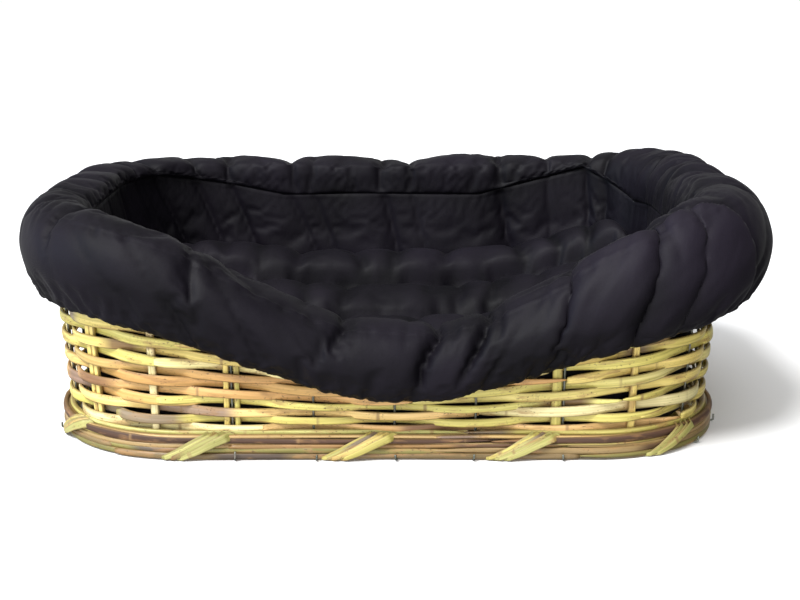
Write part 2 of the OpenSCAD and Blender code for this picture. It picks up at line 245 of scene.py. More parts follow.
def make_piece(name, verts, faces, body, material, attributes):
    """A smooth mesh that rides on a body, with named per-vertex attributes."""
    mesh = bpy.data.meshes.new(name)
    mesh.from_pydata(np.asarray(verts).tolist(), [], faces)
    for key, values in attributes.items():
        values = np.asarray(values, np.float32)
        if key == "tint":
            layer = mesh.attributes.new(key, "FLOAT_COLOR", "POINT")
            rgba = np.concatenate([values, np.ones((len(values), 1), np.float32)], axis=1)
            layer.data.foreach_set("color", rgba.ravel())
        elif values.ndim == 2:
            layer = mesh.attributes.new(key, "FLOAT_VECTOR", "POINT")
            layer.data.foreach_set("vector", values.ravel())
        else:
            layer = mesh.attributes.new(key, "FLOAT", "POINT")
            layer.data.foreach_set("value", values)
    mesh.polygons.foreach_set("use_smooth", [True] * len(mesh.polygons))
    mesh.update()
    piece = bpy.data.objects.new(name, mesh)
    bpy.context.scene.collection.objects.link(piece)
    mesh.materials.append(material)
    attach(piece, body)
    return piece


def ring_faces(rings, size, closed):
    """Quads between neighbouring rings of points. closed joins the last ring to the first."""
    near = np.arange(rings if closed else rings - 1)[:, None]
    far = (near + 1) % rings
    j = np.arange(size)
    k = (j + 1) % size
    quads = [near * size + j, far * size + j, far * size + k, near * size + k]
    return np.stack(quads, axis=-1).reshape(-1, 4)


class Bundle:
    """Several swept strips gathered into one mesh."""

    def __init__(self):
        self.verts, self.faces, self.caps, self.attributes, self.count = [], [], [], {}, 0

    def add(self, rings, **attributes):
        """rings is stations x points x 3. Attributes are given for each point."""
        length, size = rings.shape[:2]
        self.verts.append(rings.reshape(-1, 3))
        self.faces.append(ring_faces(length, size, closed=False) + self.count)
        last = self.count + (length - 1) * size
        self.caps.append([self.count + i for i in range(size)])
        self.caps.append([last + i for i in reversed(range(size))])
        for key, values in attributes.items():
            self.attributes.setdefault(key, []).append(values)
        self.count += length * size

    def piece(self, name, body, slot, material):
        """All the strips as one piece."""
        faces = np.concatenate(self.faces).tolist() + self.caps
        attributes = {key: np.concatenate(v) for key, v in self.attributes.items()}
        return make_piece(name, np.concatenate(self.verts), faces, body, material, attributes)


# ---------- split reeds ----------

STATION_STEP = 6 * MM
# how much of a reed's width is left at its end
BLUNT_END = 0.7
LONG_POINT = 0.15

# a split reed's section, as [share of the half width, share of the half thickness]: round outside
REED_SECTION = np.array(
    [(math.sin(a), 0.25 + 0.75 * math.cos(a)) for a in np.linspace(-1.4, 1.4, 7)]
    + [(0.93, -0.75), (0.0, -1.0), (-0.93, -0.75)]
)
WIRE_SECTION = np.array(
    [(math.cos(a), math.sin(a)) for a in np.linspace(0, 2 * math.pi, 8, endpoint=False)]
)

PALETTE = {
    "straw": to_linear(234, 211, 124),
    "lime": to_linear(216, 204, 112),
    "green": to_linear(200, 196, 118),
    "cream": to_linear(243, 229, 172),
    "tan": to_linear(230, 194, 130),
    "orange": to_linear(212, 164, 100),
    "brown": to_linear(118, 82, 60),
    "plum": to_linear(124, 104, 98),
}
REED_MIX = (
    "straw", "tan", "lime", "cream", "straw", "orange", "lime", "straw", "green", "tan", "lime",
)


def sweep_section(points, up, out, half_width, half_thickness, section):
    """Rings of a section along points. up is the width direction and out the round side's."""
    width = half_width[:, None, None] * section[None, :, 0, None] * up[:, None, :]
    depth = half_thickness[:, None, None] * section[None, :, 1, None] * out[:, None, :]
    return points[:, None, :] + width + depth


def reed_colours(along, rng, base, patchy, shade):
    """The colour along one reed: two related hues, and now and then a patch of old sheath."""
    first = PALETTE[base or pick(rng, REED_MIX)]
    second = first * 0.8 if base else PALETTE[pick(rng, REED_MIX)]
    share = 0.5 + 0.5 * wander(along, 0.16, rng.uniform(0, 99))
    colour = first + (second - first) * share[:, None] ** 2 * 0.8
    for _ in range(rng.binomial(2, patchy)):
        middle = rng.uniform(along[0], along[-1])
        reach = rng.uniform(0.02, 0.06)
        patch = np.clip((reach - np.abs(along - middle)) / 0.018, 0, 1)[:, None]
        hue = PALETTE["plum" if rng.uniform() < 0.6 else "brown"]
        colour = colour + (hue - colour) * patch * 0.85
    # a shade below 1 darkens the whole reed; the foot's lowest rows get the smallest values, as painted
    # shade near the floor
    return colour * shade * rng.uniform(0.94, 1.14)


def knots_along(along, rng):
    """1 at a growth ring of the reed, falling to 0 within a few millimetres."""
    spacing = rng.uniform(0.17, 0.3)
    phase = rng.uniform(0, spacing)
    distance = np.abs(np.mod(along - phase + spacing / 2, spacing) - spacing / 2)
    return np.clip(1 - distance / 0.012, 0, 1)


def end_width(away, left):
    """Share of the width at distances from an end where left of it is left: short if cut blunt."""
    reach = 12 * MM if left > 0.4 else 70 * MM
    return left + (1 - left) * np.clip(away / reach, 0, 1) ** 0.6


def add_strip(bundle, points, up, out, width, thickness, rng, base=None, patchy=0.3,
              ends=(0.5, 0.5), shade=1.0):
    """One split reed along points. ends are how much of the width is left at its two ends."""
    steps = np.linalg.norm(np.diff(points, axis=0), axis=1)
    along = np.concatenate([[0], np.cumsum(steps)])
    knots = knots_along(along, rng)
    taper = np.minimum(end_width(along, ends[0]), end_width(along[-1] - along, ends[1]))
    swell = 1 + 0.06 * knots + 0.08 * wander(along, 0.11, rng.uniform(0, 99))
    half_width = 0.5 * width * swell * taper
    half_thickness = 0.5 * thickness * (1 + 0.15 * knots) * (0.4 + 0.6 * taper)
    rings = sweep_section(points, up, out, half_width, half_thickness, REED_SECTION)
    size = len(REED_SECTION)
    seed = rng.uniform(0, 50)
    grain = np.zeros((len(points), size, 3))
    grain[:, :, 0] = along[:, None] + seed
    grain[:, :, 1] = REED_SECTION[None, :, 0] * half_width[:, None]
    grain[:, :, 2] = seed
    # edge, 0 in the reed's middle and 1 at its sides, darkens the sides in the shader: partly grime, partly
    # painted shade where reeds meet
    edge = np.broadcast_to(np.abs(REED_SECTION[None, :, 0]), (len(points), size))
    bundle.add(
        rings,
        tint=np.repeat(reed_colours(along, rng, base, patchy, shade), size, axis=0),
        grain=grain.reshape(-1, 3),
        knot=np.repeat(knots, size),
        edge=edge.reshape(-1),
    )


def add_reed(bundle, d, off, z, width, thickness, rng, tilt=0.0, **looks):
    """One split reed laid along the outline, with its round side outward."""
    normal = outward(d)
    lean = tilt + 0.13 * wander(d, 0.09, rng.uniform(0, 99))
    up = normal * np.sin(lean)[:, None]
    up[:, 2] = np.cos(lean)
    out = normal * np.cos(lean)[:, None]
    out[:, 2] = -np.sin(lean)
    add_strip(bundle, place(d, off, z), up, out, width, thickness, rng, **looks)


def stations(start, end):
    """Evenly spaced places from start to end, about a step apart."""
    return np.linspace(start, end, max(4, int((end - start) / STATION_STEP) + 1))


def reed_spans(start, end, rng, shortest=0.26, longest=0.62, overlap=0.05):
    """Splits a stretch of the outline into natural reed lengths that overlap at their ends."""
    spans = []
    at = start
    while at < end:
        reach = at + rng.uniform(shortest, longest)
        if end - reach < shortest:
            reach = end
        spans.append((at, min(reach + overlap, end)))
        at = reach
    return spans


def end_shapes(rng):
    """The share of the width left at a reed's two ends: blunt cuts and long points."""
    return tuple(BLUNT_END if rng.uniform() < 0.5 else LONG_POINT for _ in range(2))


# ---------- weave ----------

WEAVE_SWING = 6.2 * MM
WEAVE_THICKNESS = 3.8 * MM
WEAVE_LAP = 1.7 * MM
WEAVE_RISE = 1.5 * MM
REED_HEIGHT_SHARE = 1.13
THINNEST_REED = 10.2 * MM


def weave_swing(d, row):
    """How far outside the stake line a row lies: it passes each stake on the other side."""
    phase = math.pi * (d - STAKE_PHASE) / STAKE_PITCH + math.pi * row
    wave = np.cos(phase)
    return WEAVE_SWING * np.sign(wave) * np.abs(wave) ** 0.8


def row_start(row):
    """How far from the dip's centre a row starts, where the rim lets it in."""
    top = SIDE_HEIGHT - RIM_HEIGHT
    needed = top - FOOT_TOP - (row + 1) * ROW_PITCH
    room = SIDE_HEIGHT - FRONT_HEIGHT - FRONT_SQUEEZE * (row + 1) * ROW_PITCH
    return DIP_REACH * math.acos(math.sqrt(needed / room)) / (math.pi / 2) if needed < room else 0


def weave_row(row, name, material):
    """One row of the wall, in several reeds that overlap."""
    rng = np.random.default_rng(500 + row)
    bundle = Bundle()
    start = DIP_CENTRE + row_start(row)
    end = DIP_CENTRE + PERIMETER - row_start(row)
    closed = row_start(row) == 0
    shift = rng.uniform(0, 0.6) if closed else 0
    seed = rng.uniform(0, 99)
    for first, last in reed_spans(start + shift, end + shift, rng):
        d = stations(first, last)
        level = row_z(d, row)
        rise = WEAVE_RISE * wander(d, 0.13, seed + first)
        off = stake_line(level) + weave_swing(d, row) + WEAVE_LAP * lapped(d, first, 70 * MM)
        width = np.maximum(THINNEST_REED, REED_HEIGHT_SHARE * pitch_at(d))
        add_reed(
            bundle, d, off, level + rise, width * rng.uniform(0.88, 1.08), WEAVE_THICKNESS, rng,
            tilt=rng.uniform(-0.08, 0.14), ends=end_shapes(rng),
        )
    piece = bundle.piece("weave_" + name[-2:], "basket", "reed_yellow", material)
    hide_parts(name)


# ---------- stakes ----------

STAKE_BOTTOM = 3 * MM
STAKE_THICKNESS = 5.4 * MM
WIRE_WIDTH = 2.8 * MM
WIRE_END_WIDTH = 2.4 * MM


def stake_path(i, sideways):
    """Points up one stake, with its width and outward directions."""
    centre = stake_distance(i)
    normal = outward(centre)
    tangent = np.array([-normal[1], normal[0], 0])
    z = stations(STAKE_BOTTOM, float(rim_z(centre)) - 3 * MM)
    points = place(centre, stake_line(z), z) + sideways * tangent
    up = np.broadcast_to(-tangent, points.shape)
    out = np.broadcast_to(normal + np.array([0, 0, -WALL_LEAN]), points.shape)
    return points, up, out


def cane_stakes(material):
    """The split canes that stand in the weave."""
    rng = np.random.default_rng(71)
    bundle = Bundle()
    for i in range(STAKE_COUNT):
        for sideways, width in CANES.get(stake_kind(i), ()):
            points, up, out = stake_path(i, sideways * MM)
            hue = pick(rng, ("straw", "cream", "lime"))
            add_strip(bundle, points, up, out, width * MM, STAKE_THICKNESS, rng,
                      base=hue, patchy=0.1, ends=(0.8, 0.8))
    piece = bundle.piece("cane_stake_strips", "basket", "cane_pale", material)
    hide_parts("cane_stakes")


def add_wire(bundle, points, width):
    """A round wire along points that lie in one vertical plane."""
    ahead = heading(points)
    across = np.cross(ahead, [0, 0, 1.0])
    upright = np.linalg.norm(across, axis=1) < 1e-3
    across[upright] = across[~upright][0] if (~upright).any() else [1, 0, 0]
    across = unit(across)
    half = np.full(len(points), width / 2)
    bundle.add(sweep_section(points, across, np.cross(across, ahead), half, half, WIRE_SECTION))


def wire_stakes(material):
    """Wires from the rim down inside the wall, under the foot border and up over its edge."""
    rng = np.random.default_rng(72)
    bundle = Bundle()
    for i in range(STAKE_COUNT):
        if stake_kind(i) not in WIRES:
            continue
        sideways = WIRES[stake_kind(i)] * MM
        add_wire(bundle, stake_path(i, sideways)[0], WIRE_WIDTH)
        # the short end that shows at the foot
        d = stake_distance(i) + sideways + rng.uniform(-4, 4) * MM
        lean = rng.uniform(-2, 2) * MM
        height = rng.uniform(6, 11) * MM
        turn = np.linspace(0, 1, 9)
        off = (-9 + 12 * np.minimum(1, turn * 1.6)) * MM
        z = WIRE_WIDTH / 2 + height * np.clip((turn - 0.4) / 0.6, 0, 1) ** 1.5
        add_wire(bundle, place(d + lean * turn, off, z), WIRE_END_WIDTH)
    piece = bundle.piece("wire_stake_rods", "basket", "steel_wire", material)
    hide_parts("wire_stakes")


# ---------- foot border ----------

FOOT_THICKNESS = 6.5 * MM


def at_corners(d):
    """0 along the middle of each long side, rising to 1 at the corners and the ends."""
    x = outline(d)[0]
    return np.clip(np.abs(x) / HALF_LENGTH, 0, 1) ** 2


def foot_layer(name, node, rows, material, slot, seed):
    """Reeds of one layer of the foot. Each row is [off, height above the floor, width of the
    reed, how much wider it is at the corners, shade, hues], with the lengths in millimetres. The shade
    darkens the reed's colour as painted shade, deepest in the lowest rows near the floor."""
    rng = np.random.default_rng(seed)
    bundle = Bundle()
    for off, z, height, extra, shade, hues in rows:
        begin = rng.uniform(0, 0.5)
        for first, last in reed_spans(begin, begin + PERIMETER, rng, 0.3, 0.6):
            d = stations(first, last)
            wider = extra * at_corners(d)
            level = (z + 0.5 * wider + 0.7 * wander(d, 0.1, rng.uniform(0, 99))) * MM
            depth = (off + wander(d, 0.12, rng.uniform(0, 99)) + 1.5 * lapped(d, first, 60 * MM)) * MM
            width = (height + wider) * MM * rng.uniform(0.88, 1.08)
            add_reed(bundle, d, depth, level, width, FOOT_THICKNESS, rng,
                     base=pick(rng, hues), ends=end_shapes(rng), shade=shade)
    piece = bundle.piece(name, "basket", slot, material)
    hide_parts(node)


def foot_border(reed, bark):
    """The foot's pale reeds below, its mixed ones above, and the dark band that binds them."""
    light = ("straw", "lime", "tan", "green", "lime")
    dark = ("brown", "plum", "tan", "straw", "brown", "orange")
    # the shade values are painted shade: they darken the foot's reeds, the lowest rows near the floor most,
    # on top of the band's own brown
    foot_layer("foot_reeds_lower", "foot_reed_lower",
               [(-4.2, 5.2, 8.0, 0, 0.27, light), (-9.5, 6, 9, 0, 0.25, light)],
               reed, "reed_yellow", 81)
    foot_layer("foot_reeds_upper", "foot_reed_upper",
               [(-4.6, 11.2, 7.2, 0, 0.36, light), (-5.2, 16.8, 6.2, -1, 0.42, dark),
                (-10, 14, 9, 0, 0.4, light), (-6.6, 27.0, 4.4, 0, 0.68, light),
                (-12.0, 30.6, 6.0, 0, 0.74, light)],
               reed, "reed_tan", 82)
    foot_layer("foot_band_reed", "foot_band",
               [(-5.4, 19.6, 3.0, 0, 0.42, ("straw", "tan")), (-3.9, 22.6, 5.6, 6.5, 0.45, ("brown",)),
                (-10, 24, 8, 0, 0.45, ("brown",))],
               bark, "reed_brown", 83)


LASHING_COUNT = 13
LASHING_PHASE = -5 * MM
LASHING_WIDTH = 30 * MM
LASHING_STRIP = 11 * MM
LASHING_THICKNESS = 1.6 * MM
LASHING_SLANT = 58 * MM


def foot_lashings(material):
    """Split cane wound round the foot border: a few strips side by side, frayed at the ends."""
    rng = np.random.default_rng(91)
    bundle = Bundle()
    share = np.linspace(0, 1, 34)
    slant = LASHING_SLANT * through([0, 0, 0.02, 0.1, 0.35, 0.65, 0.92, 1.0], share)
    off = MM * through([-13.5, -13, -8, -0.8, 1.4, 1.6, 0.8, -3], share)
    z = BAND_TOP * through([0.14, 0.8, 1.05, 1.03, 0.78, 0.42, 0.15, 0.09], share)
    for i in range(LASHING_COUNT):
        centre = LASHING_PHASE + i * PERIMETER / LASHING_COUNT
        strips = rng.integers(4, 6)
        for k in range(strips):
            side = ((k + 0.5) / strips - 0.5) * LASHING_WIDTH + rng.uniform(-1, 1) * MM
            d = centre + side * (1.25 - 0.6 * share) - slant * rng.uniform(0.92, 1.12)
            points = place(d, off + 0.7 * MM * k, z)
            ahead = heading(points)
            facing = square_to(ahead, outward(d))
            facing[:, 2] += 0.3 * (z > BAND_TOP)
            facing = unit(facing)
            hue = pick(rng, ("green", "lime", "green", "straw"))
            add_strip(bundle, points, np.cross(facing, ahead), facing, LASHING_STRIP, LASHING_THICKNESS,
                      rng, base=hue, patchy=0.1, ends=(0.6, 0.3), shade=0.72)
    piece = bundle.piece("foot_lashing_strips", "basket", "cane_pale", material)
    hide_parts("foot_lashings")


# ---------- rim, seen when the liner is lifted ----------

HOOP_OFF = 7.5 * MM
HOOP_THICKNESS = 7 * MM
RIM_LASHING_STEP = 4.2 * MM
RIM_LASHING_STRIP = 4.4 * MM
RIM_LASHING_THICKNESS = 1.1 * MM
RIM_LASHING_SLANT = 8 * MM


def rim_hoop(name, node, side, material, seed):
    """One flat hoop along the rim, in a few long lengths of cane."""
    rng = np.random.default_rng(seed)
    bundle = Bundle()
    begin = rng.uniform(0, 0.5)
    for first, last in reed_spans(begin, begin + PERIMETER, rng, 0.7, 1.2, 0.06):
        d = stations(first, last)
        off = stake_line(rim_z(d)) + side * (HOOP_OFF - 0.8 * MM * lapped(d, first, 70 * MM))
        add_reed(bundle, d, off, rim_z(d) - RIM_HEIGHT / 2, 0.94 * RIM_HEIGHT, 0.8 * HOOP_THICKNESS, rng,
                 base="straw", ends=(0.6, 0.6))
    piece = bundle.piece(name, "basket", "reed_tan", material)
    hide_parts(node)


def rim_lashings(material):
    """Strips of split cane tied round both hoops between the stakes."""
    rng = np.random.default_rng(95)
    bundle = Bundle()
    share = np.linspace(0, 1, 25)
    slant = RIM_LASHING_SLANT * through([0, 0, 0.1, 0.5, 0.9, 1, 1], share)
    off = (HOOP_OFF + 0.5 * HOOP_THICKNESS + 1 * MM) * through([-1, -1, -0.75, 0, 0.75, 1, 1], share)
    foot = 1 * MM - RIM_HEIGHT
    above = through([foot, -2 * MM, 1 * MM, 1.2 * MM, 1 * MM, -2 * MM, foot], share)
    for i in range(STAKE_COUNT):
        for k in range(3):
            centre = (i + 0.5) * STAKE_PITCH + (k - 1) * RIM_LASHING_STEP
            d = centre + slant
            points = place(d, stake_line(rim_z(d)) + off, rim_z(d) + above)
            ahead = heading(points)
            rim = rim_z(centre)
            middle = place(centre + RIM_LASHING_SLANT / 2, stake_line(rim), rim - RIM_HEIGHT)
            facing = unit(square_to(ahead, points - middle))
            add_strip(bundle, points, np.cross(facing, ahead), facing, RIM_LASHING_STRIP,
                      RIM_LASHING_THICKNESS, rng, base="green", patchy=0.1, ends=(0.8, 0.5))
    piece = bundle.piece("rim_lashing_strips", "basket", "cane_pale", material)
    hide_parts("rim_lashings")


# ---------- soft goods: grids, folds and simulation ----------

def value_noise(points, seed):
    """Smooth noise from -1 to 1 at points in space, given in cells."""
    cell = np.floor(points)
    ease = eased(points - cell)
    total = 0
    for corner in np.ndindex(2, 2, 2):
        step = np.array(corner)
        at = cell + step
        value = np.sin(at @ np.array([127.1, 311.7, 74.7]) + seed * 17.3) * 43758.5453
        value = value - np.floor(value)
        weight = np.prod(np.where(step == 1, ease, 1 - ease), axis=-1)
        total = total + value * weight
    return 2 * total - 1


def cells(x, y, z):
    """Points for the noise, from coordinates that are already in cells."""
    return np.stack(np.broadcast_arrays(x, y, z), axis=-1)


def puffs(points, seed):
    """Padding that swells between creases: round tops from 0 to 1 with sharp valleys."""
    coarse = np.abs(value_noise(points, seed))
    fine = np.abs(value_noise(points * 2.1 + 5, seed + 1))
    return np.minimum(1, 1.6 * (0.75 * coarse ** 0.7 + 0.25 * fine ** 0.8))


def smooth_through(stops, samples):
    """Points along smooth curves through stops, an array of curves x stops x 2."""
    chord = np.linalg.norm(np.diff(stops, axis=1), axis=2).mean(axis=0)
    knots = np.concatenate([[0], np.cumsum(chord)])
    at = np.linspace(0, knots[-1], samples)
    span = np.clip(np.searchsorted(knots, at, side="right") - 1, 0, len(knots) - 2)
    before, after = np.maximum(span - 1, 0), np.minimum(span + 2, len(knots) - 1)
    t = ((at - knots[span]) / (knots[span + 1] - knots[span]))[None, :, None]
    p0, p1, p2, p3 = (stops[:, index] for index in (before, span, span + 1, after))
    return 0.5 * (2 * p1 + (p2 - p0) * t + (2 * p0 - 5 * p1 + 4 * p2 - p3) * t ** 2
                  + (3 * p1 - p0 - 3 * p2 + p3) * t ** 3)


def grid_normals(grid, closed_rows, closed_columns):
    """Unit normals of a grid of points, rows x columns x 3."""
    def slope(axis, closed):
        if closed:
            return np.roll(grid, -1, axis) - np.roll(grid, 1, axis)
        return np.gradient(grid, axis=axis)
    return unit(np.cross(slope(0, closed_rows), slope(1, closed_columns)))


HELD_STEPS = 20


def settled(verts, faces, held, pressure, growth, frames, most):
    """Runs cloth with pressure on a closed mesh and returns its points, each within most of its
    start. held is how firmly each point keeps its place, from 0, free, to 1, sewn down."""
    mesh = bpy.data.meshes.new("settling")
    mesh.from_pydata(verts.tolist(), [], faces.tolist())
    piece = bpy.data.objects.new("settling", mesh)
    bpy.context.scene.collection.objects.link(piece)
    group = piece.vertex_groups.new(name="held")
    steps = np.round(held * HELD_STEPS) / HELD_STEPS
    for level in np.unique(steps):
        group.add(np.flatnonzero(steps == level).tolist(), float(level), "REPLACE")
    cloth = piece.modifiers.new("cloth", "CLOTH")
    fabric = cloth.settings
    fabric.quality = 4
    fabric.mass = 0.25
    fabric.use_pressure = True
    fabric.uniform_pressure_force = pressure
    fabric.tension_stiffness = 12
    fabric.compression_stiffness = 12
    fabric.shear_stiffness = 5
    fabric.bending_stiffness = 2.0
    fabric.vertex_group_mass = "held"
    fabric.pin_stiffness = 1.0
    fabric.shrink_min = -growth
    fabric.shrink_max = -growth
    fabric.effector_weights.gravity = 0
    cloth.collision_settings.use_collision = False
    scene = bpy.context.scene
    scene.frame_start, scene.frame_end = 1, frames
    cloth.point_cache.frame_start, cloth.point_cache.frame_end = 1, frames
    for number in range(1, frames + 1):
        scene.frame_set(number)
    shape = piece.evaluated_get(bpy.context.evaluated_depsgraph_get()).data
    after = np.empty(len(shape.vertices) * 3)
    shape.vertices.foreach_get("co", after)
    moved = after.reshape(-1, 3) - verts
    bpy.data.objects.remove(piece)
    bpy.data.meshes.remove(mesh)
    scene.frame_set(1)
    size = np.linalg.norm(moved, axis=1)[:, None]
    capped = most * np.tanh(size / most) / np.maximum(size, 1e-9)
    return verts + moved * capped


def finer(grid, axis):
    """Twice the points along a closed axis of a grid, on smooth curves through the first ones."""
    ahead, behind = np.roll(grid, -1, axis), np.roll(grid, 1, axis)
    middle = (9 * (grid + ahead) - behind - np.roll(grid, -2, axis)) / 16
    shape = list(grid.shape)
    shape[axis] *= 2
    return np.stack([grid, middle], axis=axis + 1).reshape(shape)


def finer_both_ways(grid):
    """Twice the points along both axes of a grid that closes on itself both ways."""
    return finer(finer(grid, 0), 1)


def settled_grid(grid, flip, held, pressure, growth, frames, most):
    """A grid that closes on itself both ways, settled as cloth and made twice as fine. flip turns
    its faces over, so that the pressure pushes outward."""
    faces = ring_faces(*grid.shape[:2], closed=True)
    if flip:
        faces = faces[:, ::-1]
    points = settled(grid.reshape(-1, 3), faces, held.ravel(), pressure, growth, frames, most)
    return finer_both_ways(points.reshape(grid.shape))


def smooth_over(piece):
    """Adds one level of subdivision."""
    divided = piece.modifiers.new("subdivision", "SUBSURF")
    divided.levels = divided.render_levels = 1


# ---------- liner ----------

CUFF_STATIONS = 400
CUFF_OUTER = 46
CUFF_LINING = 16
PANEL_OUTER = -15.5 * MM
PANEL_INNER = -34.5 * MM
PANEL_BOTTOM = panel_low.z
STITCH_DROP = 13.7 * MM

# the main creases: where they cross the crest, in quarters of the outline from the front's
# middle; how far they lean to the right on their way down outside and inside, in millimetres;
# their depth in millimetres; and how far down the outside they run, from 0 to 1 at the hem
FRONT_CREASES = (
    (-0.62, 45, 0, 4, 0.6), (-0.36, 25, 0, 2, 0.7), (-0.08, -40, 0, 11, 0.35), (-0.06, -8, 0, 4, 0.3),
    (0.09, -32, 0, 17, 0.9), (0.12, -20, 0, 5, 0.45), (0.18, -40, 0, 18, 0.75), (0.20, -18, 0, 6, 0.5),
    (0.33, -25, 0, 5, 0.6), (0.48, -28, 0, 14, 1.1), (0.50, -8, 0, 5, 0.4), (0.55, -22, 0, 7, 1.0),
)
END_CREASES = (
    (0.80, -10, 8, 6, 0.9), (0.95, -8, -6, 5, 0.8), (1.07, 6, 8, 7, 0.9), (1.22, 8, 10, 8, 0.9),
    (-0.74, 14, -8, 5, 0.8), (-0.88, 10, 8, 4, 0.8), (-1.02, 4, -4, 6, 0.7), (-1.17, 6, 6, 5, 0.7),
)
BACK_CREASES = (
    (1.42, 10, 6, 11, 0.6), (1.50, -8, -10, 12, 0.6), (1.61, 5, 5, 5, 0.5), (1.73, 8, -6, 17, 0.8),
    (1.95, 5, -5, 6, 0.5), (2.01, 6, 4, 14, 0.8), (2.17, 5, 12, 7, 0.4), (2.24, 4, -8, 8, 0.5),
    (2.39, 5, -4, 12, 0.6), (2.50, -5, -14, 11, 0.7), (2.63, -8, -6, 13, 0.7), (2.71, 8, 4, 7, 0.6),
)
# where the crest lies between the outer hem, 0, and the seam inside, 1, and the way between them
CREST_AT = 0.6
SECTION_LENGTH = 0.22
WALL_CREASE_WIDENING = 1.8


def valley(gap, reach):
    """1 in a crease, falling off sharply and then softly to either side."""
    gap = np.abs(gap)
    return 0.6 * np.exp(-gap / (0.45 * reach)) + 0.4 * bell(gap, 1.6 * reach)


def main_creases(away, down, inside, widened=1.0):
    """Depth of the main creases. down and inside run from 0 at the crest to 1 at either hem."""
    rng = np.random.default_rng(31)
    total = 0
    for quarters, lean_out, lean_in, depth, length in (*FRONT_CREASES, *END_CREASES, *BACK_CREASES):
        bend = 3 * MM * wander(down + inside, 0.35, rng.uniform(0, 99))
        spot = quarters * QUARTER + bend + (lean_out * down + lean_in * inside) * MM
        # at the back the creases hardly notch the crest, and deepen down the inside
        notch = 0.18 if 1.3 < quarters < 2.8 else 1.0
        fade = np.clip((length - down) / 0.35, 0, 1) * (notch + (0.9 - notch) * np.clip(4 * inside, 0, 1))
        reach = rng.uniform(6, 9) * widened * MM
        total = total + depth * MM * fade * valley(along_gap(away, spot), reach)
    return total


def around(d, across, long, wide):
    """Points for the noise, in cells so long along the outline and so wide across it. They lie on
    a circle as long as the outline, so that the noise closes on itself."""
    turn = 2 * math.pi * d / PERIMETER
    radius = PERIMETER / (2 * math.pi)
    return cells(radius * np.cos(turn) / long, radius * np.sin(turn) / long, across / wide)


# how far the seam inside rides up, in millimetres, at places in quarters of the outline
SEAM_PLACES = (0, 1.3, 1.5, 1.66, 1.78, 2.25, 2.37, 2.61, 3.1, 3.4, 4)
SEAM_RISES = (0, 0, 40, 17, 0, 0, 14, 32, 28, 0, 0)


def seam_height(d):
    """Height above the rim of the seam between the cuff and the wall panel."""
    places = np.mod(d, PERIMETER) / QUARTER
    wave = 1.5 * wander(np.mod(d, PERIMETER), 0.09, 35, PERIMETER)
    return (np.interp(places, SEAM_PLACES, SEAM_RISES) + wave) * MM - STITCH_DROP


def stops_at(d, shape):
    """An array of curves x stops x 2, from pairs of values that are the same for all d or not."""
    return np.stack([np.stack(np.broadcast_arrays(d, *stop)[1:], axis=-1) for stop in shape], axis=1)


def cuff_stops(d):
    """Stops of the cuff's cover from the hem, over the crest, to the stitch line, for each d:
    off from the stake line at the rim and height above the rim."""
    x, _, facing, _ = outline(d)
    reach = x / HALF_LENGTH
    right = np.clip(reach, 0, 1) ** 2
    left = np.clip(-reach, 0, 1) ** 2
    crest = (30 + 14 * reach ** 2 + 11 * right - 4 * left) * MM
    lowered = rim_z(d) - FRONT_HEIGHT
    drop = 54 * MM + (26 - 8 * left) * MM * lowered / (SIDE_HEIGHT - FRONT_HEIGHT)
    # the cuff bulges more at the right end and less at the left
    swell = (45.5 + 9 * np.clip(facing, 0, 1) * right - 7 * np.clip(-facing, 0, 1) * left) * MM
    inner = -39 * MM
    seam = seam_height(d)
    # along the back and the left end the cuff's inside is flat, flush with the wall below
    flat = np.clip(1.9 - np.abs(along_gap(d, 2.35 * QUARTER)) / (0.62 * QUARTER), 0, 1)
    shape = [
        (0.34 * swell, 7 * MM - drop),
        (0.47 * swell, -drop),
        ((0.70 - 0.10 * left) * swell, 5 * MM - drop),
        ((0.91 - 0.08 * left) * swell, -0.62 * drop),
        (swell, -0.24 * drop),
        (0.93 * swell, 0.10 * crest),
        (0.70 * swell, 0.62 * crest),
        (0.28 * swell, 0.97 * crest),
        (-(0.14 + 0.12 * flat) * swell, 1.0 * crest),
        ((0.64 + 0.20 * flat) * inner, (0.82 + 0.07 * flat) * crest),
        ((0.92 + 0.07 * flat) * inner, np.maximum((0.48 + 0.06 * flat) * crest, seam + 9 * MM)),
        (inner, np.maximum(0.12 * crest, seam + 6 * MM)),
        (inner, seam + 3.5 * MM),
        (PANEL_INNER - 3 * MM, seam),
    ]
    return stops_at(d, shape)


def lining_stops(d):
    """Stops of the lining from the stitch line, round the rim's slot and back to the hem."""
    hem = cuff_stops(d)[:, 0]
    shape = [
        (PANEL_INNER + 4 * MM, seam_height(d) - 3 * MM),
        (-22 * MM, -STITCH_DROP - 3 * MM),
        (-14.8 * MM, -STITCH_DROP + 2 * MM),
        (-14.5 * MM, 0),
        (-6 * MM, 4.4 * MM),
        (6 * MM, 4.4 * MM),
        (14.5 * MM, 0),
        (14.8 * MM, 0.5 * hem[:, 1]),
        (hem[:, 0] - 1 * MM, hem[:, 1] + 4 * MM),
    ]
    return stops_at(d, shape)


def fanned(away, lie):
    """Distances shifted so that folds fan out from the front's middle towards the ends."""
    lean = -0.75 * np.tanh(outline(away)[0] / 0.16)
    return away + lean * (lie - 0.5 * SECTION_LENGTH)


def cuff_swells(away, across):
    """How far the cuff's padding stands out, in metres, before the cloth settles over it."""
    lie = across * SECTION_LENGTH
    fan = fanned(away, lie)
    lumps = value_noise(around(away, lie, 0.13, 0.16), 3)
    broad = puffs(around(fan, lie, 0.10, 0.24), 11)
    down = np.clip((CREST_AT - across) / CREST_AT, 0, 1)
    inside = np.clip((across - CREST_AT) / (1 - CREST_AT), 0, 1)
    push = 2.5 * MM * lumps + 5.5 * MM * (broad - 0.6)
    return push - main_creases(away, down, inside)


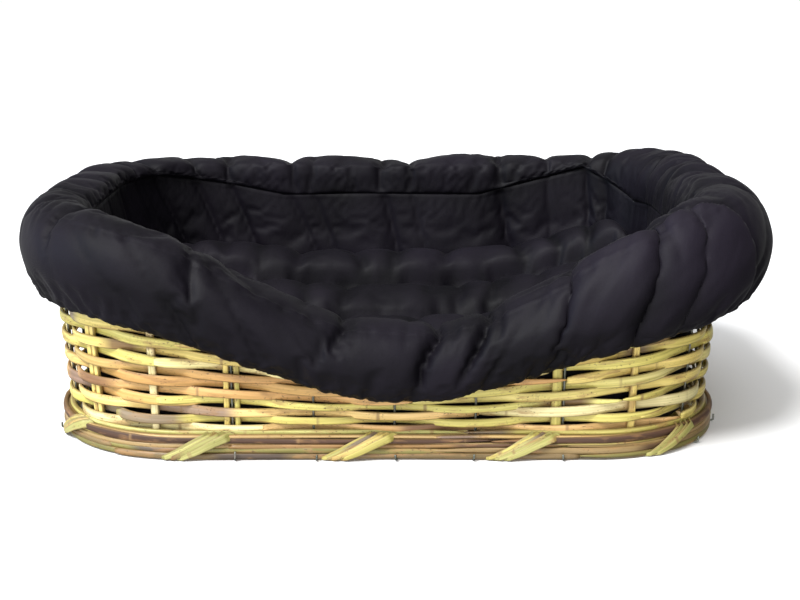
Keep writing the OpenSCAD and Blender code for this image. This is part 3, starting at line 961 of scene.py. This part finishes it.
def flap_step(away, across):
    """The front panel's rounded edge, which lies over the end roll at the right front corner."""
    front = along_gap(away, 0)
    side = 0.66 * QUARTER - 40 * MM * across - front
    end = (0.66 - across) * SECTION_LENGTH
    corner = 40 * MM
    past = corner - np.hypot(np.maximum(0, corner - side), np.maximum(0, corner - end))
    past = past + 1.2 * MM * wander(away + across * SECTION_LENGTH, 0.011, 37)
    step = np.clip(past / (6 * MM) + 0.5, 0, 1)
    share = np.clip((front / QUARTER - 0.22) / 0.25, 0, 1) * (front < QUARTER)
    return share * MM * (9 * eased(step) - 3 * bell(past + 6 * MM, 5 * MM))


def cuff_wrinkles(away, across):
    """The cloth's own fine shape: gathers at the hem, drag folds, the welt and the seam inside."""
    lie = across * SECTION_LENGTH
    fan = fanned(away, lie)
    patchy = np.clip(value_noise(around(away, lie, 0.07, 0.07), 17) + 0.4, 0, 1)
    drag = puffs(around(fan, lie, 0.030, 0.13), 15)
    fine = puffs(around(fan, lie, 0.011, 0.07), 19)
    gather = puffs(around(fan, lie, 0.014, 0.10), 21)
    hem_reach = 0.20 + 0.14 * value_noise(around(away, 0 * lie, 0.025, 1), 23)
    near_hem = np.clip(1 - across / hem_reach, 0, 1)
    near_end = np.clip(np.abs(outline(away)[0]) / HALF_LENGTH, 0, 1) ** 3
    push = patchy * MM * (3.0 * (drag - 0.7) + (0.8 + 1.6 * near_end) * (fine - 0.7))
    push += (6.5 + 3 * near_end) * MM * near_hem * (gather - 0.7)
    # the welt along the front's crest, with small puckers on either side
    front = np.clip(1.2 - np.abs(along_gap(away, -0.1 * QUARTER)) / (0.75 * QUARTER), 0, 1) ** 0.3
    from_welt = (across - CREST_AT + 0.02) * SECTION_LENGTH
    pucker = puffs(around(away, lie, 0.010, 0.06), 27)
    near_welt = bell(from_welt, 9 * MM)
    push += front * MM * (1.3 * bell(from_welt, 1.6 * MM) + 2.2 * near_welt * (pucker - 0.7))
    # short puckers along the seam inside
    near_seam = bell((1 - across) * SECTION_LENGTH, 14 * MM)
    push += 3.5 * MM * near_seam * (pucker - 0.7)
    return push + flap_step(away, across)


def liner_cuff(material):
    """The padded roll over the rim: gathered at the hem, creased over the crest."""
    d = all_round(CUFF_STATIONS)
    cover = smooth_through(cuff_stops(d), CUFF_OUTER)
    lining = smooth_through(lining_stops(d), CUFF_LINING)
    section = np.concatenate([cover, lining], axis=1)
    rim = rim_z(d)[:, None]
    grid = place(d[:, None], stake_line(rim) + section[:, :, 0], rim + section[:, :, 1])
    on_cover = np.arange(grid.shape[1]) < CUFF_OUTER
    across = np.where(on_cover, np.arange(grid.shape[1]) / (CUFF_OUTER - 1), 1)[None, :]
    free = np.sin(math.pi * np.clip(across * 1.02 - 0.01, 0, 1)) ** 0.35 * on_cover
    away = d[:, None] + 0 * across
    grid += grid_normals(grid, True, True) * (cuff_swells(away, across) * free)[:, :, None]
    held = np.clip(1 - free, 0, 1) + 0 * away
    grid = settled_grid(grid, False, held, pressure=3.0, growth=0.03, frames=12, most=7 * MM)
    across, free = (finer_both_ways(np.broadcast_to(values, held.shape)) for values in (across, free))
    away = all_round(2 * CUFF_STATIONS)[:, None] + 0 * across
    push = cuff_wrinkles(away, across) * np.clip(free, 0, 1)
    grid = grid + grid_normals(grid, True, True) * push[:, :, None]
    # crest sets the cloth's painted light: lighter where the padding stands out, painted shade in the
    # creases, at the hem and on the lining
    crest = np.clip(free, 0, 1) * (0.5 + (cuff_swells(away, across) + push) / (16 * MM))
    piece = make_piece("liner_cuff", grid.reshape(-1, 3), ring_faces(*grid.shape[:2], closed=True).tolist(),
                       "liner", material, {"crest": crest.ravel()})
    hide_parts("liner_cuff_cover", "liner_cuff_filling", "liner_cuff_lining",
                "liner_hem_elastic")


WALL_INNER_ROWS = 34
WALL_OUTER_ROWS = 12


def dragged(away, below):
    """Distances along the outline, shifted with depth so that folds drag down to the right."""
    from_left = np.clip(0.5 + along_gap(away, 2.1 * QUARTER) / QUARTER, 0, 1)
    return away + (0.12 + 0.5 * from_left) * below


def wall_swells(away, rise, below):
    """How far the wall panel stands in towards the cushion. below is the depth under its top."""
    slanted = dragged(away, below)
    lumps = value_noise(around(away, below, 0.12, 0.14), 43)
    folds = puffs(around(slanted, below, 0.11, 0.8), 47)
    push = 5.5 * MM + 1.5 * MM * lumps + 4.5 * MM * (folds - 0.6)
    return push - main_creases(slanted, 0 * rise, 1 - 0.6 * rise, WALL_CREASE_WIDENING)


def wall_wrinkles(away, below):
    """The wall panel's fine shape: drag folds in patches, and puckers under its top seam."""
    slanted = dragged(away, 1.4 * below)
    patchy = np.clip(value_noise(around(away, below, 0.08, 0.08), 51) + 0.3, 0, 1)
    drag = puffs(around(slanted, below, 0.045, 0.6), 49)
    pucker = puffs(around(away, below, 0.014, 0.06), 55)
    push = 1.6 * MM * patchy * (drag - 0.7)
    return push + 3 * MM * np.exp(-below / (9 * MM)) * (pucker - 0.7)


def liner_wall(material):
    """The padded wall panel below the seam, with the cuff's lower edge sewn to its top."""
    d = all_round(CUFF_STATIONS)
    seam = (rim_z(d) + seam_height(d))[:, None]
    under_rim = (rim_z(d) - STITCH_DROP - 3 * MM)[:, None]
    bottom = PANEL_BOTTOM + 1 * MM
    rise = np.concatenate([np.linspace(0, 1, WALL_INNER_ROWS), np.linspace(1, 0, WALL_OUTER_ROWS)])
    is_inner = np.arange(len(rise)) < WALL_INNER_ROWS
    rise = np.broadcast_to(rise, (CUFF_STATIONS, len(rise)))
    top = np.where(is_inner, seam - 0.5 * MM, under_rim)
    z = bottom + (top - bottom) * rise
    away = d[:, None] + 0 * rise
    bulge = np.sin(math.pi * np.clip(0.04 + 0.96 * rise, 0, 1)) ** 0.35 * is_inner
    push = bulge * wall_swells(away, rise, top - z)
    off = np.where(is_inner, PANEL_INNER, PANEL_OUTER - 0.5 * MM)
    grid = place(away, stake_line(z) + off - push, z)
    held = 1 - 0.9 * bulge
    grid = settled_grid(grid, True, held, pressure=1.5, growth=0.012, frames=10, most=4 * MM)
    bulge, below = finer_both_ways(bulge), finer_both_ways(top - z)
    away = all_round(2 * CUFF_STATIONS)[:, None] + 0 * below
    push = np.clip(bulge, 0, 1) * wall_wrinkles(away, np.maximum(0, below))
    grid = grid - grid_normals(grid, True, True) * push[:, :, None]
    # crest sets the cloth's painted light: lighter on the panel's folds, painted shade in its creases and
    # at its edges
    crest = np.clip(bulge, 0, 1) * (0.5 + push / (8 * MM))
    faces = ring_faces(*grid.shape[:2], closed=True)[:, ::-1]
    piece = make_piece("liner_wall", grid.reshape(-1, 3), faces.tolist(), "liner",
                       material, {"crest": crest.ravel()})
    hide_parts("liner_wall_cover", "liner_wall_filling", "liner_wall_lining")


# ---------- cushion ----------

CUSHION_HALF_LENGTH = roll_high.x
CUSHION_INSET = HALF_LENGTH - CUSHION_HALF_LENGTH
CUSHION_BOTTOM = cushion_low.z
CUSHION_SEAM = CUSHION_BOTTOM + 28 * MM
BACK_ROLL = 160 * MM
FRONT_ROLL = 105 * MM
ROLL_COUNT = 4
LEFT_CLIMB = 30 * MM
RIGHT_CLIMB = 110 * MM
CHANNEL_DEPTH = 26 * MM
CUSHION_FIT = 0.985  # share of the solid's outline that the cloth fills before it swells
CUSHION_CROWDING = 0.94  # how far the points crowd towards its front and back edges
CUSHION_ALONG = 128
CUSHION_ACROSS = 94


def reach_across(x, off):
    """Half the depth of the outline moved by off, at a distance x from the middle."""
    radius = CORNER + off
    beyond = np.maximum(0, np.abs(x) - STRAIGHT_FRONT)
    return STRAIGHT_END + np.sqrt(np.maximum(0, radius ** 2 - beyond ** 2))


def pad_mesh(upper, lower):
    """Joins two grids of points along their edges into a closed pad. Returns its points, its
    faces and which of the two grids' points it keeps."""
    rows, columns = upper.shape[:2]
    number = np.arange(rows * columns).reshape(rows, columns)
    below = number + rows * columns
    on_edge = np.zeros((rows, columns), bool)
    on_edge[[0, -1]] = True
    on_edge[:, [0, -1]] = True
    below[on_edge] = number[on_edge]

    def quads(index):
        return np.stack([index[:-1, :-1], index[1:, :-1], index[1:, 1:], index[:-1, 1:]], -1).reshape(-1, 4)

    faces = np.concatenate([quads(number), quads(below)[:, ::-1]])
    used = np.zeros(2 * rows * columns, bool)
    used[faces.ravel()] = True
    verts = np.concatenate([upper.reshape(-1, 3), lower.reshape(-1, 3)])[used]
    return verts, (np.cumsum(used) - 1)[faces], used


# the deep tucks across the rolls: roll number to places in shares of the cushion's half length
TUCKS = {
    3: (-0.79, -0.51, -0.35, -0.14, 0.05, 0.24, 0.51, 0.65, 0.82),
    2: (-0.74, -0.52, -0.32, -0.14, 0.17, 0.28, 0.43, 0.60, 0.76),
    1: (-0.66, -0.40, -0.17, 0.09, 0.32, 0.49, 0.69),
    0: (-0.69, -0.35, -0.06, 0.23, 0.55),
}


def tuck_depth(x, roll, across):
    """Depth of the tucks sewn across each roll."""
    rng = np.random.default_rng(63)
    total = np.zeros(x.shape)
    for number, places in TUCKS.items():
        for centre in places:
            lean = rng.uniform(-0.02, 0.02)
            reach = rng.uniform(7, 12) * MM
            depth = rng.uniform(6, 12) * MM
            gap = x - centre * CUSHION_HALF_LENGTH - lean * across
            total += (roll == number) * depth * valley(gap, reach)
    return total


def cushion_top(x, share):
    """Height of the rolls at x and a share of the depth, and how close the channel is."""
    along = np.clip((share + 1) / 2 * ROLL_COUNT + 0.10 * wander(x, 0.17, 61), 0, ROLL_COUNT - 1e-6)
    roll = np.floor(along)
    across = np.abs(2 * (along - roll) - 1)
    crown = FRONT_ROLL + (BACK_ROLL - FRONT_ROLL) * (roll / (ROLL_COUNT - 1)) ** 2
    edge_roll = ((roll == 0) & (share < -0.75)) | ((roll == ROLL_COUNT - 1) & (share > 0.75))
    groove = np.where(edge_roll, 0, CHANNEL_DEPTH * (1 - np.sqrt(1 - across ** 2.6)))
    reach = np.clip(x / CUSHION_HALF_LENGTH, -1, 1)
    climb = np.where(reach < 0, LEFT_CLIMB * reach ** 2, RIGHT_CLIMB * reach ** 4)
    rounding = np.sqrt(np.maximum(0, (1 - reach ** 12) * (1 - share ** 10)))
    return CUSHION_SEAM + (crown - groove + climb - CUSHION_SEAM) * rounding, across, roll


def cushion(material):
    """The loose cushion: lengthwise rolls between sewn channels, with tucks across them."""
    turn = np.linspace(-1, 1, CUSHION_ALONG + 1)
    x = CUSHION_HALF_LENGTH * CUSHION_FIT * np.sin(math.pi / 2 * turn)[:, None]
    even = np.linspace(-1, 1, CUSHION_ACROSS + 1)
    crowding = math.pi / 2 * CUSHION_CROWDING
    share = (0.5 * np.sin(crowding * even) / math.sin(crowding) + 0.5 * even)[None, :]
    y = reach_across(x, -CUSHION_INSET) * CUSHION_FIT * share
    x = x + 0 * y
    top, across, roll = cushion_top(x, share + 0 * x)
    inside = np.sqrt(np.maximum(0, (1 - (x / CUSHION_HALF_LENGTH) ** 12) * (1 - share ** 10)))
    tucks = puffs(cells(x / 0.06 + 0.4 * roll, y / 0.25 + 7.3 * roll, 0 * x + roll), 67)
    lumps = value_noise(cells(x / 0.09, y / 0.09 + 3 * roll, 0 * x), 69)
    small = puffs(cells(x / 0.02, y / 0.06, 0 * x + 3.1 * roll), 71)
    near_channel = across ** 3
    push = inside * (4 * MM * (tucks - 0.6) + 2.5 * MM * lumps - tuck_depth(x, roll, across))
    push += inside * near_channel * 4 * MM * (small - 0.6)
    upper = np.stack([x, y, top + push], axis=-1)
    bottom_rise = (CUSHION_SEAM - CUSHION_BOTTOM) * (1 - np.sqrt(inside))
    lower = np.stack([x, y, CUSHION_BOTTOM + 1 * MM + bottom_rise], axis=-1)
    verts, faces, used = pad_mesh(upper, lower)
    # crest sets the cloth's painted light: lighter on the rolls, painted shade in the tucks, and the
    # darkest painted shade on the underside
    crest = np.concatenate([(0.5 + push / (14 * MM)).ravel(), np.zeros(push.size)])[used]
    held_top = np.maximum(0.8 * across ** 6, 1 - inside ** 0.5)
    held = np.concatenate([held_top.ravel(), np.ones(push.size)])[used]
    points = settled(verts, faces, held, pressure=2.5, growth=0.03, frames=12, most=7 * MM)
    piece = make_piece("cushion", points, faces.tolist(), "cushion", material,
                       {"crest": crest})
    smooth_over(piece)
    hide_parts("cushion_cover_top", "cushion_cover_base", "cushion_filling")


# ---------- padded floor of the liner ----------

QUILT_PITCH = 75 * MM


def liner_floor(material):
    """The liner's floor: a thin pad quilted in squares."""
    along, across = np.linspace(-1, 1, 161)[:, None], np.linspace(-1, 1, 101)[None, :]
    reach = floor_high.x + 3 * MM
    x = reach * np.sin(math.pi / 2 * along) + 0 * across
    y = reach_across(x, reach - HALF_LENGTH) * across
    closing = np.sqrt(np.maximum(0, (1 - np.sin(math.pi / 2 * along) ** 20) * (1 - across ** 20)))
    puff = np.abs(np.sin(math.pi * x / QUILT_PITCH) * np.sin(math.pi * y / QUILT_PITCH)) ** 0.4
    wrinkle = value_noise(cells(x / 0.03, y / 0.03, 0 * x), 57)
    middle = (floor_low.z + floor_high.z) / 2
    half = (floor_high.z - floor_low.z) / 2 - 0.3 * MM
    shape = closing * (0.55 + 0.45 * puff) * (1 + 0.06 * wrinkle)
    upper = np.stack([x, y, middle + half * np.minimum(1, shape)], axis=-1)
    lower = np.stack([x, y, middle - half * np.minimum(1, closing)], axis=-1)
    verts, faces, used = pad_mesh(upper, lower)
    # crest is each quilted square's puff: painted lighter on the puffs, painted shade along the quilting
    # lines and underneath
    crest = np.concatenate([puff.ravel(), np.zeros(puff.size)])[used]
    piece = make_piece("liner_floor_pad", verts, faces.tolist(), "liner", material,
                       {"crest": crest})
    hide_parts("liner_floor")


def hidden_solids():
    """The solids under the liner keep their shapes and take split reed with its own grain."""
    for name, hue, axis in (
        ("base_frame", "tan", "x"), ("base_slats", "orange", "y"), ("base_canes", "straw", "x"),
    ):
        looks = plain_reed_material(name + "_reed", PALETTE[hue], axis)
        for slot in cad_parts[name].material_slots:
            slot.material = looks


# ---------- materials ----------

def add_node(tree, kind, settings=None, **inputs):
    """A shader node. settings are its options; inputs are values or sockets to link from."""
    made = tree.nodes.new("ShaderNode" + kind)
    for key, value in (settings or {}).items():
        setattr(made, key, value)
    for key, value in inputs.items():
        socket = made.inputs[key.replace("_", " ")]
        if isinstance(value, bpy.types.NodeSocket):
            tree.links.new(value, socket)
        else:
            socket.default_value = value
    return made


def new_material(name):
    """A material with its tree and its surface shader."""
    made = bpy.data.materials.new(name)
    made.use_nodes = True
    tree = made.node_tree
    shader = next(n for n in tree.nodes if n.type == "BSDF_PRINCIPLED")
    return made, tree, shader


def read_attribute(tree, name):
    """A node that reads one of the pieces' own per-vertex values."""
    return add_node(tree, "Attribute", {"attribute_name": name})


def stretched_noise(tree, vector, stretch, detail, roughness=0.55):
    """Noise along a vector whose axes are scaled by stretch, in cells per metre."""
    scaled = add_node(tree, "Mapping", Vector=vector, Scale=stretch).outputs["Vector"]
    noise = add_node(tree, "TexNoise", Vector=scaled, Scale=1.0, Detail=detail, Roughness=roughness)
    return noise.outputs["Fac"]


def remap(tree, value, low, high, to_low=0.0, to_high=1.0):
    """A value from low to high, stretched to another range and held at its ends."""
    made = add_node(tree, "MapRange", Value=value, From_Min=low, From_Max=high,
                    To_Min=to_low, To_Max=to_high)
    return made.outputs["Result"]


def compute(tree, operation, first, second):
    """Arithmetic on two values or sockets."""
    made = tree.nodes.new("ShaderNodeMath")
    made.operation = operation
    for socket, value in zip(made.inputs, (first, second)):
        if isinstance(value, bpy.types.NodeSocket):
            tree.links.new(value, socket)
        else:
            socket.default_value = value
    return made.outputs["Value"]


def mix_colour(tree, share, first, second, blend="MIX"):
    """A share of the way from the first colour to the second."""
    made = add_node(tree, "MixRGB", {"blend_type": blend}, Fac=share, Color1=first, Color2=second)
    return made.outputs["Color"]


def grey(value):
    """An opaque grey."""
    return (value, value, value, 1.0)


def tinted(tree, colour, red, green, blue):
    """A colour with each of its channels multiplied by a shade."""
    shades = add_node(tree, "CombineColor", Red=red, Green=green, Blue=blue).outputs["Color"]
    return mix_colour(tree, 1.0, colour, shades, "MULTIPLY")


def reed_surface(tree, shader, tint, grain, knot, edge, gloss):
    """Skin of a split reed: fine fibres, blotches, specks, growth rings, and edges darkened partly by grime
    and partly as painted shade where the reeds meet.
    """
    fibres = stretched_noise(tree, grain, (22, 1500, 3), 4.0, 0.6)
    bands = stretched_noise(tree, grain, (11, 300, 1), 2.0)
    blotches = stretched_noise(tree, grain, (26, 110, 1), 3.0)
    specks = stretched_noise(tree, grain, (330, 480, 1), 1.0)
    colour = tinted(
        tree, tint,
        red=remap(tree, bands, 0.3, 0.7, 0.74, 1.20),
        green=remap(tree, bands, 0.3, 0.7, 0.72, 1.18),
        blue=remap(tree, bands, 0.3, 0.7, 0.58, 1.26),
    )
    fibre_shade = remap(tree, fibres, 0.3, 0.7, 0.86, 1.1)
    colour = tinted(tree, colour, fibre_shade, fibre_shade, fibre_shade)
    stained = remap(tree, blotches, 0.53, 0.66, 0.0, 0.62)
    colour = mix_colour(tree, stained, colour, (0.36, 0.19, 0.07, 1))
    freckled = compute(tree, "MULTIPLY", remap(tree, specks, 0.64, 0.70),
                       remap(tree, blotches, 0.42, 0.58, 0.0, 0.8))
    colour = mix_colour(tree, freckled, colour, (0.09, 0.045, 0.02, 1))
    ring = remap(tree, knot, 0.74, 0.92, 0.0, 0.75)
    colour = mix_colour(tree, ring, colour, (0.27, 0.16, 0.065, 1))
    # the edges darken towards brown: partly grime, partly painted shade where neighbouring reeds meet
    rim = remap(tree, edge, 0.68, 1.0, 0.0, 0.7)
    colour = mix_colour(tree, rim, colour, (0.2, 0.12, 0.045, 1))
    tree.links.new(colour, shader.inputs["Base Color"])
    rough = remap(tree, fibres, 0.25, 0.75, gloss - 0.06, gloss + 0.2)
    tree.links.new(rough, shader.inputs["Roughness"])
    height = compute(tree, "ADD", compute(tree, "MULTIPLY", fibres, 0.6),
                     compute(tree, "MULTIPLY", bands, 1.0))
    height = compute(tree, "ADD", height, compute(tree, "MULTIPLY", knot, 0.8))
    bump = add_node(tree, "Bump", Strength=0.6, Distance=0.0006, Height=height)
    tree.links.new(bump.outputs["Normal"], shader.inputs["Normal"])
    shader.inputs["Specular IOR Level"].default_value = 0.45


def reed_material(name, gloss):
    """Split reed for swept pieces, which carry their own colours and grain."""
    made, tree, shader = new_material(name)
    reed_surface(
        tree, shader,
        read_attribute(tree, "tint").outputs["Color"],
        read_attribute(tree, "grain").outputs["Vector"],
        read_attribute(tree, "knot").outputs["Fac"],
        read_attribute(tree, "edge").outputs["Fac"],
        gloss,
    )
    return made


def plain_reed_material(name, hue, grain_axis):
    """Split reed for the hidden solids, with its grain along one axis of the frame."""
    made, tree, shader = new_material(name)
    place_at = add_node(tree, "TexCoord").outputs["Object"]
    turned = add_node(tree, "Mapping", Vector=place_at,
                      Rotation=(0, 0, 0 if grain_axis == "x" else math.pi / 2)).outputs["Vector"]
    patches = stretched_noise(tree, turned, (5, 30, 30), 2.0)
    tint = mix_colour(tree, remap(tree, patches, 0.35, 0.65), (*(hue * 0.75), 1), (*hue, 1))
    rings = remap(tree, stretched_noise(tree, turned, (9, 2, 2), 1.0), 0.66, 0.7)
    sides = remap(tree, stretched_noise(tree, turned, (4, 160, 160), 1.0), 0.5, 0.75)
    reed_surface(tree, shader, tint, turned, rings, sides, 0.5)
    return made


def wire_material():
    """Galvanised wire: dull spangle, with a little rust in patches."""
    made, tree, shader = new_material("galvanised_wire")
    place_at = add_node(tree, "TexCoord").outputs["Object"]
    spangle = stretched_noise(tree, place_at, (240, 240, 120), 3.0)
    rust = remap(tree, stretched_noise(tree, place_at, (60, 60, 60), 3.0), 0.55, 0.7, 0.0, 0.6)
    metal = mix_colour(tree, remap(tree, spangle, 0.3, 0.7), (0.10, 0.11, 0.09, 1), (0.28, 0.29, 0.25, 1))
    tree.links.new(mix_colour(tree, rust, metal, (0.2, 0.1, 0.05, 1)), shader.inputs["Base Color"])
    tree.links.new(remap(tree, spangle, 0.3, 0.7, 0.35, 0.6), shader.inputs["Roughness"])
    tree.links.new(remap(tree, rust, 0.0, 0.6, 0.9, 0.3), shader.inputs["Metallic"])
    bump = add_node(tree, "Bump", Strength=0.4, Distance=0.0003, Height=spangle)
    tree.links.new(bump.outputs["Normal"], shader.inputs["Normal"])
    return made


def cloth_material(name, dark, light, sheen):
    """Black cotton satin: fine twill, soft creases, painted light on the crests and painted shade in the
    creases, and a little lint.
    """
    made, tree, shader = new_material(name)
    place_at = add_node(tree, "TexCoord").outputs["Object"]
    crest_shading = read_attribute(tree, "crest").outputs["Fac"]
    clouds = stretched_noise(tree, place_at, (9, 9, 9), 3.0)
    creases = stretched_noise(tree, place_at, (55, 55, 32), 4.0, 0.6)
    nap = stretched_noise(tree, place_at, (700, 700, 700), 2.0)
    twill = add_node(tree, "TexWave", {"wave_type": "BANDS", "bands_direction": "DIAGONAL"},
                     Vector=place_at, Scale=420.0, Distortion=0.6, Detail=1.0).outputs["Fac"]
    # painted light and shade: the cloth is lighter where it stands out and darker in its creases and
    # quilting lines
    shade = compute(tree, "ADD", remap(tree, clouds, 0.3, 0.7, 0.0, 0.5),
                    remap(tree, crest_shading, 0.2, 1.0, -0.1, 0.6))
    shade = compute(tree, "ADD", shade, remap(tree, nap, 0.3, 0.7, -0.08, 0.08))
    colour = mix_colour(tree, shade, dark, light)
    lint_cells = add_node(tree, "TexVoronoi", {"feature": "F1"}, Vector=place_at, Scale=55.0)
    near = remap(tree, lint_cells.outputs["Distance"], 0.014, 0.022, 1.0, 0.0)
    chosen = add_node(tree, "SeparateColor", Color=lint_cells.outputs["Color"]).outputs["Red"]
    lint = compute(tree, "MULTIPLY", near, remap(tree, chosen, 0.80, 0.82, 0.0, 0.5))
    colour = mix_colour(tree, lint, colour, grey(0.16))
    tree.links.new(colour, shader.inputs["Base Color"])
    rough = compute(tree, "ADD", remap(tree, clouds, 0.3, 0.7, 0.5, 0.6),
                    remap(tree, twill, 0.0, 1.0, 0.0, 0.08))
    tree.links.new(rough, shader.inputs["Roughness"])
    weave = add_node(tree, "Bump", Strength=0.25, Distance=0.0002, Height=twill)
    folds = add_node(tree, "Bump", Strength=0.16, Distance=0.004, Height=creases,
                     Normal=weave.outputs["Normal"])
    tree.links.new(folds.outputs["Normal"], shader.inputs["Normal"])
    shader.inputs["Sheen Weight"].default_value = sheen
    shader.inputs["Sheen Roughness"].default_value = 0.4
    shader.inputs["Specular IOR Level"].default_value = 0.13
    return made


# ---------- stage ----------

VIEW_DISTANCE = 1.7334
VIEW_ELEVATION = math.radians(13.23)
VIEW_TARGET = 0.1236
VIEW_SHIFT = 0.0155
SENSOR_WIDTH = 36
FOCAL_SHARE = 1.661
PAPER_HALF_WIDTH = 40.0


def camera():
    """The camera of the photograph: low, and straight in front."""
    data = bpy.data.cameras.new("camera")
    data.sensor_width = SENSOR_WIDTH
    data.lens = FOCAL_SHARE * SENSOR_WIDTH
    data.shift_x = VIEW_SHIFT
    made = bpy.data.objects.new("camera", data)
    made.location = (
        0,
        -VIEW_DISTANCE * math.cos(VIEW_ELEVATION),
        VIEW_TARGET + VIEW_DISTANCE * math.sin(VIEW_ELEVATION),
    )
    made.rotation_euler = (math.pi / 2 - VIEW_ELEVATION, 0, 0)
    bpy.context.scene.collection.objects.link(made)
    bpy.context.scene.camera = made


def floor():
    """A wide pale sheet of studio paper."""
    mesh = bpy.data.meshes.new("studio_floor")
    half = PAPER_HALF_WIDTH
    corners = [(-half, -half, 0), (half, -half, 0), (half, half, 0), (-half, half, 0)]
    mesh.from_pydata(corners, [], [(0, 1, 2, 3)])
    made = bpy.data.objects.new("studio_floor", mesh)
    bpy.context.scene.collection.objects.link(made)
    paper, _, shader = new_material("studio_paper")
    shader.inputs["Base Color"].default_value = (0.96, 0.96, 0.96, 1)
    shader.inputs["Roughness"].default_value = 0.9
    mesh.materials.append(paper)
    # the paper takes shadows but throws no light back, which would grey the black cloth from below
    made.visible_diffuse = False
    made.visible_glossy = False


def sun_light(name, towards, strength, spread, colour=(1, 1, 1)):
    """Even light from far away. A wide spread gives it soft shadows."""
    data = bpy.data.lights.new(name, "SUN")
    data.energy = strength
    data.angle = math.radians(spread)
    data.color = colour
    made = bpy.data.objects.new(name, data)
    made.rotation_euler = Vector(towards).to_track_quat("-Z", "Y").to_euler()
    bpy.context.scene.collection.objects.link(made)


def light_the_stage():
    """A white surround, brighter in front and darker above, below and at the right, with a broad
    key light from the left front, a soft one overhead and cool window light from the left."""
    world = bpy.data.worlds.new("studio")
    world.use_nodes = True
    tree = world.node_tree
    aim = add_node(tree, "SeparateXYZ", Vector=add_node(tree, "TexCoord").outputs["Generated"])
    ceiling = remap(tree, aim.outputs["Z"], 0.05, 0.3, 1.03, 0.42)
    right_side = remap(tree, aim.outputs["X"], 0.4, 0.85, 1.0, 0.15)
    front_side = remap(tree, aim.outputs["Y"], -0.8, -0.1, 2.5, 1.0)
    ground = remap(tree, aim.outputs["Z"], -0.4, -0.04, 0.5, 1.0)
    strength = compute(tree, "MULTIPLY", compute(tree, "MULTIPLY", ceiling, right_side),
                       compute(tree, "MULTIPLY", front_side, ground))
    # what shows behind the paper's far edge is as white as the paper
    backdrop = add_node(tree, "LightPath").outputs["Is Camera Ray"]
    background = tree.nodes["Background"]
    tree.links.new(compute(tree, "MAXIMUM", strength, backdrop), background.inputs["Strength"])
    background.inputs["Color"].default_value = grey(1.0)
    bpy.context.scene.world = world
    bpy.context.scene.view_settings.view_transform = "Standard"
    sun_light("key", towards=(0.46, 0.5, -0.85), strength=3.9, spread=20)
    sun_light("overhead", towards=(0, 0.1, -1), strength=0.7, spread=70)
    sun_light("window", towards=(0.9, 0.2, -0.3), strength=1.1, spread=50, colour=(0.5, 0.72, 1.0))


camera()
floor()
light_the_stage()

reed = reed_material("split_reed", gloss=0.36)
bark = reed_material("bark_reed", gloss=0.55)
cane = reed_material("split_cane", gloss=0.42)
wire = wire_material()

for index, weaver in enumerate(weaver_names):
    weave_row(index, weaver, reed)
cane_stakes(cane)
wire_stakes(wire)
foot_border(reed, bark)
foot_lashings(cane)

rim_hoop("rim_hoop_outer_cane", "rim_hoop_outer", 1, reed, seed=92)
rim_hoop("rim_hoop_inner_cane", "rim_hoop_inner", -1, reed, seed=93)
rim_lashings(cane)
hidden_solids()

cloth = cloth_material(
    "black_satin", dark=(0.0010, 0.0007, 0.0019, 1), light=(0.0112, 0.0086, 0.0150, 1), sheen=0.010,
)
liner_cuff(cloth)
liner_wall(cloth)
liner_floor(cloth)
cushion(cloth)

bpy.context.view_layer.update()
